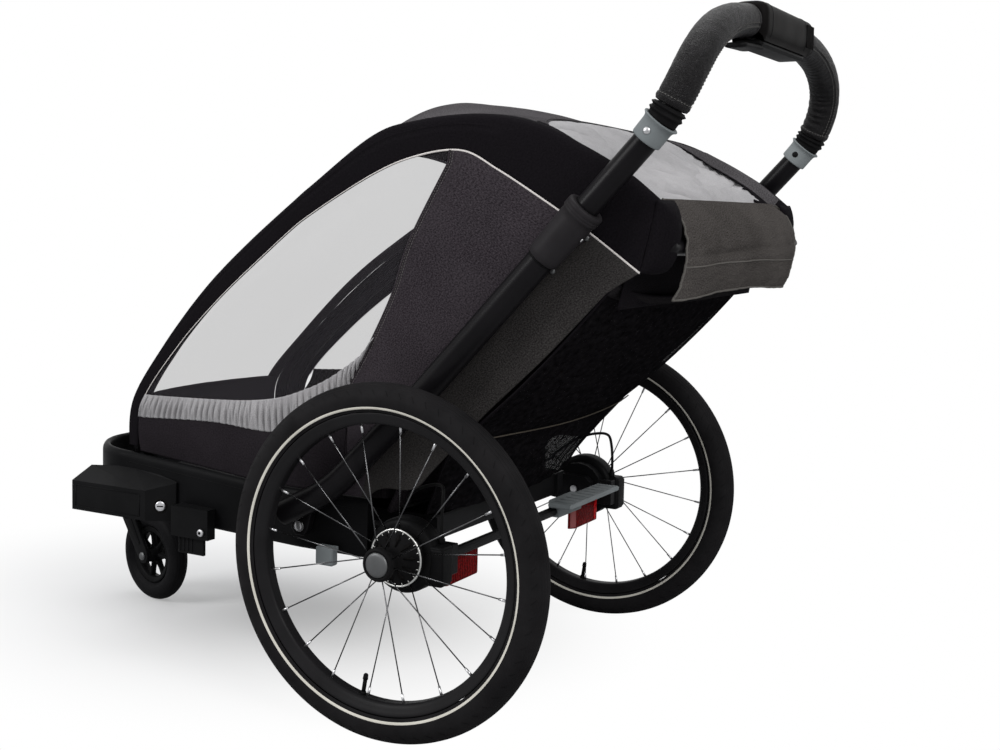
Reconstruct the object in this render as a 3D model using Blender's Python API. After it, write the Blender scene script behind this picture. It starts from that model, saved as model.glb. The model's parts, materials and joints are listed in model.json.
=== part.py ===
import bpy
import bmesh
from math import cos, sin, pi, radians
from mathutils import Vector, Matrix

# Child bike trailer for two seats. Metres, +Z up, travel towards -Y, left side at +X.
# All positions are taken from the ground point below the middle of the rear axle.

AXLE_Y = 0.1894
GAP = 0.0003
SEAM = 0.0008

# rear wheels
WHEEL_X = 0.3785
TYRE_R = 0.250
TYRE_W = 0.047
TYRE_WALL = 0.0035
RIM_DROP = 0.057
RIM_IN_R = TYRE_R - RIM_DROP
AXLE_Z = TYRE_R
PIN_R = 0.006
BORE = 0.0003
HUB_OUT = 0.018
HUB_IN = -0.0445
CAP_R = 0.024
BUTTON_R = 0.016
BUTTON_OUT = 0.022
FLANGE_R = 0.041
BARREL_R = 0.015
SPOKES = 10
SPOKE_R = 0.001
SPOKE_TURN = 0.12
RIM_STEPS = 30

# chassis
RIM_T = 0.014
RIM_LOW = 0.228
RIM_TOP = 0.318
NOSE_RISE = 0.017
NOSE_Y = -0.700
NOSE_CX = 0.140
RIM_END_Y = -0.075
RAIL_IN = 0.200
RAIL_OUT = 0.222
FRAME_LOW = 0.246
FRAME_TOP = 0.284
FRAME_FRONT = -0.622
FRAME_REAR = -0.004
PAN_T = 0.003
FOOT_T = 0.002
SEAT_FRONT = -0.370
PIVOT_Y = -0.185
PIVOT_Z = 0.266
SHAFT_R = 0.008
HOOP_PIN_R = 0.005
HOOP_PIN = (-0.5805, 0.3355)
UPSTAND_X = 0.2076

# cabin outline in side view
CAB_X = 0.300
CAB_TAPER = 0.1657
TAPER_Y = -0.200
CLOTH_T = 0.0025
BAND_WRAP = 0.045
ARCH_R = 0.011
ARCH_IN = 0.0190
ARCH_DEPTH = 0.0175
OUTER = [(-0.600, 0.3365), (-0.593, 0.412), (-0.519, 0.505), (-0.417, 0.607), (-0.316, 0.685),
         (-0.200, 0.7625), (-0.085, 0.8405), (-0.010, 0.8615), (0.085, 0.868), (0.170, 0.856),
         (0.245, 0.823), (0.308, 0.787), (0.352, 0.752)]
INNER = [(-0.571, 0.3370), (-0.557, 0.415), (-0.470, 0.512), (-0.376, 0.592), (-0.285, 0.658),
         (-0.190, 0.722), (-0.075, 0.785), (0.000, 0.811), (0.070, 0.817), (0.125, 0.791),
         (0.190, 0.753), (0.255, 0.712), (0.312, 0.670)]
HEM_Y = [-0.562, -0.525, -0.455, -0.370, -0.285, -0.200, -0.115]
REAR_EDGE = [(-0.060, 0.340), (0.000, 0.340), (0.036, 0.374), (0.108, 0.452), (0.200, 0.540),
             (0.286, 0.630)]
STRIP_TOP = [(-0.57, 0.424), (-0.30, 0.441), (-0.18, 0.471), (-0.10, 0.518), (-0.067, 0.553)]
STRIP_LOW = [(-0.57, 0.386), (-0.39, 0.398), (-0.24, 0.399), (-0.14, 0.440), (-0.08, 0.533)]
PANEL_EDGE = [(-0.111, 0.481), (-0.080, 0.533), (-0.038, 0.616), (-0.011, 0.692), (0.049, 0.800)]
CROWN_POWER = 2.2
ROOF_EDGE = 0.0485
BOW_R = 0.007
BOW_SINK = 0.0098
CROWN = [0.062, 0.055, 0.050, 0.048, 0.052, 0.070, 0.084, 0.042, 0.016, 0.012, 0.018, 0.026, 0.036]
COVER_END = 5.72
ROOF_START = 5.80
BOW_T = 6.02

# push frame
TUBE_X = 0.332
TUBE_R = 0.019
TUBE_BORE = 0.0174
LEG_R = 0.0167
TUBE_TOP = (0.2655, 0.737)
TUBE_DIR = (0.676, 0.737)
TUBE_FOOT = [(-0.205, 0.2855), (-0.195, 0.291), (-0.166, 0.306), (-0.140, 0.320), (-0.112, 0.3400),
             (-0.088, 0.362), (-0.060, 0.390)]
LEG_IN = 0.150
BORE_DEPTH = 0.270
CLAMP_LEN = 0.085
CLAMP_R = 0.0265
CLAMP_LOW_R = 0.0225
COLLAR_AT = 0.131
BOW_START = (0.3541, 0.8336)
BOW_H = 0.1833
BOW_N = 3.117
BOW_A0 = radians(50.6)
BOW_A1 = radians(96.4)
RING_AT = (0.1535, 0.1760)
GRIP_AT = 0.1768
GRIP_R = 0.0235
CONSOLE_X = 0.120

# caster
CASTER_AHEAD = 0.082
SWIVEL_Y = NOSE_Y - CASTER_AHEAD
RECEIVER_FRONT = SWIVEL_Y - 0.018
RECEIVER_REAR = FRAME_FRONT + 0.037
SWIVEL_TURN = radians(-13)
TRAIL = 0.0545
CASTER_R = 0.0853
CASTER_TYRE_R = 0.0185
CASTER_OPEN_R = CASTER_R - 2 * CASTER_TYRE_R - 0.0063
CASTER_STEPS = 22
STEM_R = 0.009
FORK_IN = 0.0225
FORK_T = 0.008
CROWN_LOW = 0.1670
RECEIVER_LOW = 0.1862
RECEIVER_TOP = 0.2430

# rear brake bar and reflectors
BAR_Y = 0.050
BAR_Z = AXLE_Z - 0.0005
BAR_R = 0.0075
HOUSING_IN = 0.2970
HOUSING_OUT = 0.3328
HOUSING_R = 0.054
ARM_IN = 0.262
ARM_OUT = 0.2838

for old in list(bpy.data.objects):
    bpy.data.objects.remove(old, do_unlink=True)

PART = bpy.data.collections.new("child_bike_trailer")
TOOLS = bpy.data.collections.new("cutters")
bpy.context.scene.collection.children.link(PART)
bpy.context.scene.collection.children.link(TOOLS)


def material(name, rgb, rough, metal=0.0):
    m = bpy.data.materials.new(name)
    m.use_nodes = True
    b = m.node_tree.nodes["Principled BSDF"]
    b.inputs["Base Color"].default_value = (*rgb, 1.0)
    b.inputs["Roughness"].default_value = rough
    b.inputs["Metallic"].default_value = metal
    m.diffuse_color = (*rgb, 1.0)
    return m


TUBE_MAT = material("tube_black", (0.018, 0.017, 0.019), 0.32, 0.6)
FRAME_MAT = material("frame_black", (0.020, 0.020, 0.022), 0.45, 0.2)
PLASTIC = material("plastic_dark", (0.040, 0.040, 0.043), 0.55)
GREY = material("plastic_grey", (0.150, 0.175, 0.172), 0.50)
STEEL = material("steel", (0.42, 0.43, 0.44), 0.35, 1.0)
ALLOY = material("alloy_silver", (0.36, 0.37, 0.38), 0.38, 0.9)
RUBBER = material("rubber", (0.030, 0.030, 0.031), 0.70)
TYRE = material("tyre", (0.045, 0.045, 0.047), 0.80)
RIM_MAT = material("rim_black", (0.022, 0.022, 0.024), 0.40, 0.3)
RED = material("reflector_red", (0.55, 0.02, 0.03), 0.20)
LEATHER = material("grip_leather", (0.022, 0.021, 0.022), 0.50)
CHARCOAL = material("cloth_charcoal", (0.075, 0.070, 0.076), 0.90)
BAND = material("cloth_black", (0.025, 0.024, 0.028), 0.85)
LIGHT = material("cloth_light", (0.42, 0.41, 0.41), 0.85)
FILM = material("film_clear", (0.70, 0.71, 0.72), 0.15)
MESH = material("cloth_mesh", (0.035, 0.034, 0.038), 0.90)
CABLE = material("cable_black", (0.015, 0.015, 0.015), 0.45)

ROOT = bpy.data.objects.new("trailer_root", None)
ROOT.location = (0.0, AXLE_Y, 0.0)
PART.objects.link(ROOT)
SWIVEL = bpy.data.objects.new("caster_swivel", None)
SWIVEL.location = (0.0, SWIVEL_Y, 0.0)
SWIVEL.rotation_euler = (0.0, 0.0, SWIVEL_TURN)
SWIVEL.parent = ROOT
PART.objects.link(SWIVEL)


def closed(verts, faces):
    """Mesh of one closed body with its faces turned outwards."""
    me = bpy.data.meshes.new("body")
    me.from_pydata([tuple(v) for v in verts], [], faces)
    bm = bmesh.new()
    bm.from_mesh(me)
    bmesh.ops.remove_doubles(bm, verts=bm.verts, dist=1e-6)
    bmesh.ops.recalc_face_normals(bm, faces=bm.faces)
    if bm.calc_volume(signed=True) < 0:
        bmesh.ops.reverse_faces(bm, faces=bm.faces)
    bm.to_mesh(me)
    bm.free()
    return me


def box(lo, hi, bevel=0.0, rows=1):
    """Block between two corners, its edges rounded by bevel."""
    bm = bmesh.new()
    bmesh.ops.create_cube(bm, size=1.0)
    for v in bm.verts:
        v.co = Vector([lo[k] + (v.co[k] + 0.5) * (hi[k] - lo[k]) for k in range(3)])
    if bevel:
        bmesh.ops.bevel(bm, geom=bm.edges, offset=bevel, segments=rows, profile=0.5,
                        affect="EDGES")
    me = bpy.data.meshes.new("block")
    bm.to_mesh(me)
    bm.free()
    return me


def prism(outline, axis, lo, hi):
    """Outline extruded along axis; lo and hi are levels or one level for each corner."""
    n = len(outline)
    low = lo if isinstance(lo, list) else [lo] * n
    high = hi if isinstance(hi, list) else [hi] * n
    verts = []
    for levels in (low, high):
        for (a, b), c in zip(outline, levels):
            verts.append({"X": (c, a, b), "Y": (a, c, b), "Z": (a, b, c)}[axis])
    faces = [tuple(range(n)), tuple(range(n, 2 * n))]
    faces += [(k, (k + 1) % n, n + (k + 1) % n, n + k) for k in range(n)]
    return closed(verts, faces)


def basis(direction):
    d = Vector(direction).normalized()
    side = d.cross(Vector((1, 0, 0)))
    if side.length < 0.3:
        side = d.cross(Vector((0, 1, 0)))
    side.normalize()
    return d, side, d.cross(side)


def rod(a, b, r, sides=12, r_end=None):
    """Straight round bar between two points."""
    d, u, w = basis(Vector(b) - Vector(a))
    rings = []
    for p, q in ((Vector(a), r), (Vector(b), r if r_end is None else r_end)):
        rings += [p + (u * cos(2 * pi * k / sides) + w * sin(2 * pi * k / sides)) * q
                  for k in range(sides)]
    faces = [tuple(range(sides)), tuple(range(sides, 2 * sides))]
    faces += [(k, (k + 1) % sides, sides + (k + 1) % sides, sides + k) for k in range(sides)]
    return closed(rings, faces)


def lathe(profile, steps, base=(0, 0, 0), axis=(1, 0, 0)):
    """Closed section of (radius, height) points turned once round an axis."""
    d, u, w = basis(axis)
    base = Vector(base)
    on_axis = [abs(r) < 1e-9 for r, h in profile]
    rings = []
    verts = []
    for (r, h), flat in zip(profile, on_axis):
        if flat:
            rings.append([len(verts)] * steps)
            verts.append(base + d * h)
            continue
        rings.append(list(range(len(verts), len(verts) + steps)))
        verts += [base + d * h + (u * cos(2 * pi * k / steps) + w * sin(2 * pi * k / steps)) * r
                  for k in range(steps)]
    faces = []
    for i in range(len(profile)):
        j = (i + 1) % len(profile)
        if on_axis[i] and on_axis[j]:
            continue
        for k in range(steps):
            m = (k + 1) % steps
            corner = [rings[i][k], rings[i][m], rings[j][m], rings[j][k]]
            keep = []
            for c in corner:
                if c not in keep:
                    keep.append(c)
            faces.append(tuple(keep))
    return closed(verts, faces)


def sweep(path, r_out, sides=14, r_in=None, first=None):
    """Round bar along a path; with r_in it is a sleeve with an open bore."""
    path = [Vector(p) for p in path]
    n = len(path)
    radii = r_out if isinstance(r_out, list) else [r_out] * n
    tangents = []
    for k in range(n):
        t = (path[min(k + 1, n - 1)] - path[max(k - 1, 0)]).normalized()
        tangents.append(t)
    if first is not None:
        tangents[0] = first.normalized()
    d, u, w = basis(tangents[0])
    frames = []
    for t in tangents:
        u = (u - t * u.dot(t)).normalized()
        frames.append((u.copy(), t.cross(u)))
    verts = []
    for skin in ([0, 1] if r_in else [0]):
        for k in range(n):
            r = r_in if skin else radii[k]
            for s in range(sides):
                a = 2 * pi * (s + 0.5) / sides
                verts.append(path[k] + (frames[k][0] * cos(a) + frames[k][1] * sin(a)) * r)
    faces = []
    for skin in range(2 if r_in else 1):
        o = skin * n * sides
        for k in range(n - 1):
            for s in range(sides):
                m = (s + 1) % sides
                faces.append((o + k * sides + s, o + k * sides + m,
                              o + (k + 1) * sides + m, o + (k + 1) * sides + s))
    last = (n - 1) * sides
    if r_in:
        o = n * sides
        for s in range(sides):
            m = (s + 1) % sides
            faces.append((s, m, o + m, o + s))
            faces.append((last + s, last + m, o + last + m, o + last + s))
    else:
        faces.append(tuple(range(sides)))
        faces.append(tuple(range(last, last + sides)))
    return closed(verts, faces)


def sheet(grid, thick, slots=None):
    """Thin closed solid below a grid of points; thick may be negative for the other side."""
    rows, cols = len(grid), len(grid[0])
    top = [[Vector(p) for p in row] for row in grid]
    low = []
    for i in range(rows):
        line = []
        for j in range(cols):
            a = top[min(i + 1, rows - 1)][j] - top[max(i - 1, 0)][j]
            b = top[i][min(j + 1, cols - 1)] - top[i][max(j - 1, 0)]
            line.append(top[i][j] - a.cross(b).normalized() * thick)
        low.append(line)
    verts = [p for row in top for p in row] + [p for row in low for p in row]
    size = rows * cols
    faces = []
    kinds = []
    for i in range(rows - 1):
        for j in range(cols - 1):
            a, b, c, d = i * cols + j, i * cols + j + 1, (i + 1) * cols + j + 1, (i + 1) * cols + j
            kind = slots(top[i][j].lerp(top[i + 1][j + 1], 0.5)) if slots else 0
            faces.append((a, b, c, d))
            faces.append((size + a, size + d, size + c, size + b))
            kinds += [kind, kind]
    edge = [(0, j) for j in range(cols)] + [(i, cols - 1) for i in range(1, rows)]
    edge += [(rows - 1, j) for j in range(cols - 2, -1, -1)] + [(i, 0) for i in range(rows - 2, 0, -1)]
    for k, (i, j) in enumerate(edge):
        p, q = edge[(k + 1) % len(edge)]
        a, b = i * cols + j, p * cols + q
        faces.append((b, a, size + a, size + b))
        kinds.append(0)
    me = closed(verts, faces)
    if slots:
        for f, kind in zip(me.polygons, kinds):
            f.material_index = kind
    return me


def part(name, me, mats, origin=(0, 0, 0), parent=None):
    """Named sub-part with its origin on the given point."""
    me.transform(Matrix.Translation(-Vector(origin)))
    me.name = name
    for m in (mats if isinstance(mats, list) else [mats]):
        me.materials.append(m)
    for f in me.polygons:
        f.use_smooth = True
    ob = bpy.data.objects.new(name, me)
    ob.location = origin
    ob.parent = parent or ROOT
    PART.objects.link(ob)
    return ob


def tool(ob, me, operation, parent=None):
    """Joins or cuts a body with the exact solver."""
    t = bpy.data.objects.new(ob.name + "_" + operation.lower(), me)
    t.parent = parent or ROOT
    t.hide_render = True
    t.display_type = "WIRE"
    TOOLS.objects.link(t)
    mod = ob.modifiers.new(operation.title(), "BOOLEAN")
    mod.operation = operation
    mod.solver = "EXACT"
    mod.object = t


def add(ob, me, parent=None):
    tool(ob, me, "UNION", parent)


def cut(ob, me, parent=None):
    tool(ob, me, "DIFFERENCE", parent)


def smooth_at(points, t):
    """Point on a smooth line through the given ones, t counted in points."""
    n = len(points)
    k = min(max(int(t), 0), n - 2)
    f = t - k
    p = [Vector(points[min(max(k + o, 0), n - 1)]) for o in (-1, 0, 1, 2)]
    return 0.5 * (2 * p[1] + (p[2] - p[0]) * f + (2 * p[0] - 5 * p[1] + 4 * p[2] - p[3]) * f * f
                  + (3 * p[1] - p[0] - 3 * p[2] + p[3]) * f ** 3)


def line_at(points, y):
    """Height of a broken line at y."""
    if y <= points[0][0]:
        return points[0][1]
    for a, b in zip(points, points[1:]):
        if y <= b[0]:
            return a[1] + (b[1] - a[1]) * (y - a[0]) / (b[0] - a[0])
    return points[-1][1]


def cab(y):
    """Half width of the cabin cloth."""
    return CAB_X - max(0.0, TAPER_Y - y) * CAB_TAPER


def rim_out(y):
    """Half width over the chassis rim along its sides."""
    return cab(y) + 0.002 + 0.018 * min(max((TAPER_Y - y) / 0.4, 0.0), 1.0)


def rim_top(y):
    return RIM_TOP + NOSE_RISE * min(max((-0.3 - y) / 0.4, 0.0), 1.0)


# chassis rim: a band round the nose and along both sides
half = [(rim_out(y), y) for y in (RIM_END_Y, -0.14, -0.20, -0.30, -0.40, -0.50, -0.56)]
corner_r = rim_out(-0.585) - NOSE_CX
for k in range(0, 8):
    a = pi / 2 * k / 7
    half.append((NOSE_CX + corner_r * cos(a), -0.585 + (NOSE_Y + 0.585) * sin(a)))
half.append((NOSE_CX * 0.5, NOSE_Y - 0.004))
plan = half + [(0.0, NOSE_Y - 0.005)] + [(-x, y) for x, y in reversed(half)]
rim_verts = []
for k, (x, y) in enumerate(plan):
    ax, ay = plan[max(k - 1, 0)]
    bx, by = plan[min(k + 1, len(plan) - 1)]
    t = Vector((bx - ax, by - ay)).normalized()
    inward = Vector((t.y, -t.x))
    if inward.dot(Vector((-x, -0.35 - y))) < 0:
        inward = -inward
    top = rim_top(y)
    for depth, z in ((0.0, RIM_LOW + 0.006), (0.0, top - 0.012), (0.003, top - 0.004),
                     (0.008, top), (RIM_T, top - 0.003), (RIM_T, RIM_LOW), (0.004, RIM_LOW)):
        rim_verts.append((x + inward.x * depth, y + inward.y * depth, z))
SEC = 7
rim_faces = [tuple(range(SEC)), tuple(range((len(plan) - 1) * SEC, len(plan) * SEC))]
for k in range(len(plan) - 1):
    for s in range(SEC):
        m = (s + 1) % SEC
        rim_faces.append((k * SEC + s, k * SEC + m, (k + 1) * SEC + m, (k + 1) * SEC + s))
chassis_rim = part("chassis_rim", closed(rim_verts, rim_faces), PLASTIC)
TAB_Y = -0.140
TAB_HALF = 0.015
TAB_TRAVEL = 0.012
TAB_LOW = 0.2335
TAB_HIGH = 0.2405
for s in (1, -1):
    cut(chassis_rim, rod((s * 0.28, PIVOT_Y, PIVOT_Z), (s * 0.31, PIVOT_Y, PIVOT_Z), PIN_R + BORE))
    reach = TAB_HALF + TAB_TRAVEL + 0.0008
    lo = (0.28 if s > 0 else -0.31, TAB_Y - reach, TAB_LOW - BORE)
    hi = (0.31 if s > 0 else -0.28, TAB_Y + reach, TAB_HIGH + BORE)
    cut(chassis_rim, box(lo, hi))

# floor frame: two rails, three cross members, upstands with the hoop pins
frame = part("floor_frame", box((RAIL_IN, FRAME_FRONT, FRAME_LOW), (RAIL_OUT, FRAME_REAR, FRAME_TOP)),
             FRAME_MAT)
add(frame, box((-RAIL_OUT, FRAME_FRONT, FRAME_LOW), (-RAIL_IN, FRAME_REAR, FRAME_TOP)))
for y0, y1, reach in ((-0.615, -0.585, 0.2330), (-0.365, -0.335, rim_out(-0.365) - RIM_T - 0.0010),
                      (-0.034, -0.010, RAIL_OUT - 0.005)):
    add(frame, box((-reach, y0, FRAME_LOW + 0.002), (reach, y1, FRAME_TOP - 0.002)))
for s in (1, -1):
    x0, x1 = sorted((s * (UPSTAND_X - 0.008), s * UPSTAND_X))
    add(frame, prism([(-0.600, 0.260), (-0.560, 0.260), (-0.566, 0.346), (-0.594, 0.346)], "X", x0, x1))
    add(frame, rod((s * (UPSTAND_X - 0.003), *HOOP_PIN), (s * (UPSTAND_X + 0.025), *HOOP_PIN),
                   HOOP_PIN_R, 12))
cut(frame, rod((-0.24, PIVOT_Y, PIVOT_Z), (0.24, PIVOT_Y, PIVOT_Z), SHAFT_R + BORE))

# floor panel, suspension shaft, pivots of the push frame
PAN_HALF = [(0.226, -0.600), (0.250, -0.360), (0.250, -0.215), (0.226, -0.205), (0.226, FRAME_REAR)]
pan = part("floor_pan", prism(PAN_HALF + [(-x, y) for x, y in reversed(PAN_HALF)], "Z", FRAME_TOP + GAP,
                              FRAME_TOP + GAP + PAN_T), PLASTIC)
cut(pan, box((-0.300, FRAME_FRONT, FRAME_TOP + GAP + FOOT_T), (0.300, SEAT_FRONT - 0.0005, RIM_TOP)))
for s in (1, -1):
    x0, x1 = sorted((s * (UPSTAND_X - 0.0085), s * 0.240))
    cut(pan, box((x0, -0.61, 0.27), (x1, -0.559, 0.30)))
part("suspension_shaft", rod((-ARM_OUT, PIVOT_Y, PIVOT_Z), (ARM_OUT, PIVOT_Y, PIVOT_Z), SHAFT_R), STEEL,
     (0, PIVOT_Y, PIVOT_Z))

# drawbar socket at the left of the nose, its button and the clamp bracket behind it
SOCKET_X = 0.302
SOCKET_LOW = 0.230
SOCKET_HIGH = 0.279
socket = part("drawbar_socket",
              prism([(SOCKET_X, -0.660), (SOCKET_X, -0.500), (0.2760, -0.4575), (0.2738, -0.4575),
                     (rim_out(-0.50) + SEAM, -0.500), (rim_out(-0.56) + SEAM, -0.560),
                     (0.2556, -0.600), (0.2556, -0.660)], "Z", SOCKET_LOW,
                    [SOCKET_HIGH, SOCKET_HIGH, 0.292, 0.294, 0.300, 0.303, 0.303, 0.298]), PLASTIC)
cut(socket, box((0.264, -0.70, 0.238), (0.295, -0.575, 0.270)))
face_dir = Vector((0.0425, 0.0260, 0.0)).normalized()
face_mid = Vector((0.2890, -0.47875, 0.2545))
BUTTON_HOLE_R = 0.0100
cut(socket, rod(face_mid - face_dir * 0.0085, face_mid + face_dir * 0.02, BUTTON_HOLE_R))
part("drawbar_button", rod(face_mid - face_dir * 0.0045, face_mid + face_dir * 0.0025,
                           BUTTON_HOLE_R - 0.0004), ALLOY, tuple(face_mid))
clamp_in = rim_out(-0.37) + SEAM
bracket = part("drawbar_clamp", prism([(0.3015, -0.446), (0.3015, -0.372), (clamp_in, -0.372),
                                       (rim_out(-0.446) + SEAM, -0.446)], "Z", 0.214, 0.262), PLASTIC)
add(bracket, box((0.2872, -0.438, 0.186), (0.2932, -0.386, 0.218), 0.001))
add(bracket, rod((0.300, -0.384, 0.226), (0.3045, -0.384, 0.226), 0.006, 12))

# front caster with its receiver
receiver = part("caster_receiver", box((-0.017, RECEIVER_FRONT, 0.196),
                                      (0.017, RECEIVER_REAR, 0.2262), 0.002), FRAME_MAT)
add(receiver, box((-0.030, -0.612, 0.206), (0.030, -0.588, FRAME_LOW + 0.002 - GAP), 0.002))
add(receiver, rod((0, SWIVEL_Y, RECEIVER_LOW), (0, SWIVEL_Y, RECEIVER_TOP), 0.0210, 16))
cut(receiver, rod((0, SWIVEL_Y, 0.15), (0, SWIVEL_Y, 0.28), STEM_R + BORE, 16))
leg = [(-0.022, 0.183), (0.008, 0.183), (0.018, 0.167), (0.0660, 0.094), (0.0690, 0.085), (0.0660, 0.076),
       (0.0580, 0.0715), (0.0490, 0.0720), (0.0420, 0.078), (-0.021, 0.160)]
fork = part("caster_fork", prism(leg, "X", FORK_IN, FORK_IN + FORK_T), PLASTIC, parent=SWIVEL)
add(fork, prism(leg, "X", -FORK_IN - FORK_T, -FORK_IN), SWIVEL)
add(fork, box((-FORK_IN - 0.004, -0.021, CROWN_LOW),
              (FORK_IN + 0.004, 0.0135, RECEIVER_LOW - 0.0005), 0.001), SWIVEL)
add(fork, rod((0, 0, CROWN_LOW + 0.006), (0, 0, RECEIVER_TOP + 0.002), STEM_R, 16), SWIVEL)
WHEEL_C = (0.0, TRAIL, CASTER_R)
AXLE_BOLT_R = 0.004
cut(fork, rod((-0.05, TRAIL, CASTER_R), (0.05, TRAIL, CASTER_R), AXLE_BOLT_R + BORE, 12), SWIVEL)
bolt_out = FORK_IN + FORK_T + 0.0004
part("caster_axle", lathe([(0, bolt_out + 0.003), (0.0075, bolt_out + 0.002), (0.0075, bolt_out),
                           (AXLE_BOLT_R, bolt_out), (AXLE_BOLT_R, -bolt_out), (0.0075, -bolt_out),
                           (0.0075, -bolt_out - 0.002), (0, -bolt_out - 0.003)], 12, WHEEL_C),
     STEEL, WHEEL_C, SWIVEL)
ring_r = CASTER_R - 2 * CASTER_TYRE_R
cast = part("caster_wheel", lathe([(CASTER_OPEN_R, 0.010), (ring_r + 0.0030, 0.012), (ring_r + 0.0040, 0.010),
                                   (ring_r - 0.001, 0.006), (ring_r - 0.001, -0.006),
                                   (ring_r + 0.0040, -0.010), (ring_r + 0.0030, -0.012),
                                   (CASTER_OPEN_R, -0.010)], CASTER_STEPS, WHEEL_C), PLASTIC, WHEEL_C,
            SWIVEL)
add(cast, lathe([(0.0125, 0.0215), (0.0125, -0.0215), (AXLE_BOLT_R + BORE, -0.0215),
                 (AXLE_BOLT_R + BORE, 0.0215)], 12, WHEEL_C), SWIVEL)
for k in range(7):
    a = 2 * pi * k / 7
    d = Vector((0, sin(a), cos(a)))
    w = Vector((0, cos(a), -sin(a)))
    me = box((-0.0045, -0.0045, 0.0095), (0.0045, 0.0045, CASTER_OPEN_R + 0.002))
    for v in me.vertices:
        x, y, z = v.co
        v.co = Vector(WHEEL_C) + Vector((x, 0, 0)) + w * y + d * z
    add(cast, me, SWIVEL)
tyre_mid = CASTER_R - CASTER_TYRE_R
section = [(ring_r + 0.0048, 0.0105), (ring_r - 0.0005, 0.0062), (ring_r - 0.0005, -0.0062),
           (ring_r + 0.0048, -0.0105)]
for k in range(-3, 4):
    a = 2 * pi * k / 10
    section.append((tyre_mid + CASTER_TYRE_R * cos(a), CASTER_TYRE_R * sin(a)))
part("caster_tyre", lathe(section, CASTER_STEPS, WHEEL_C), RUBBER, WHEEL_C, SWIVEL)

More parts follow.
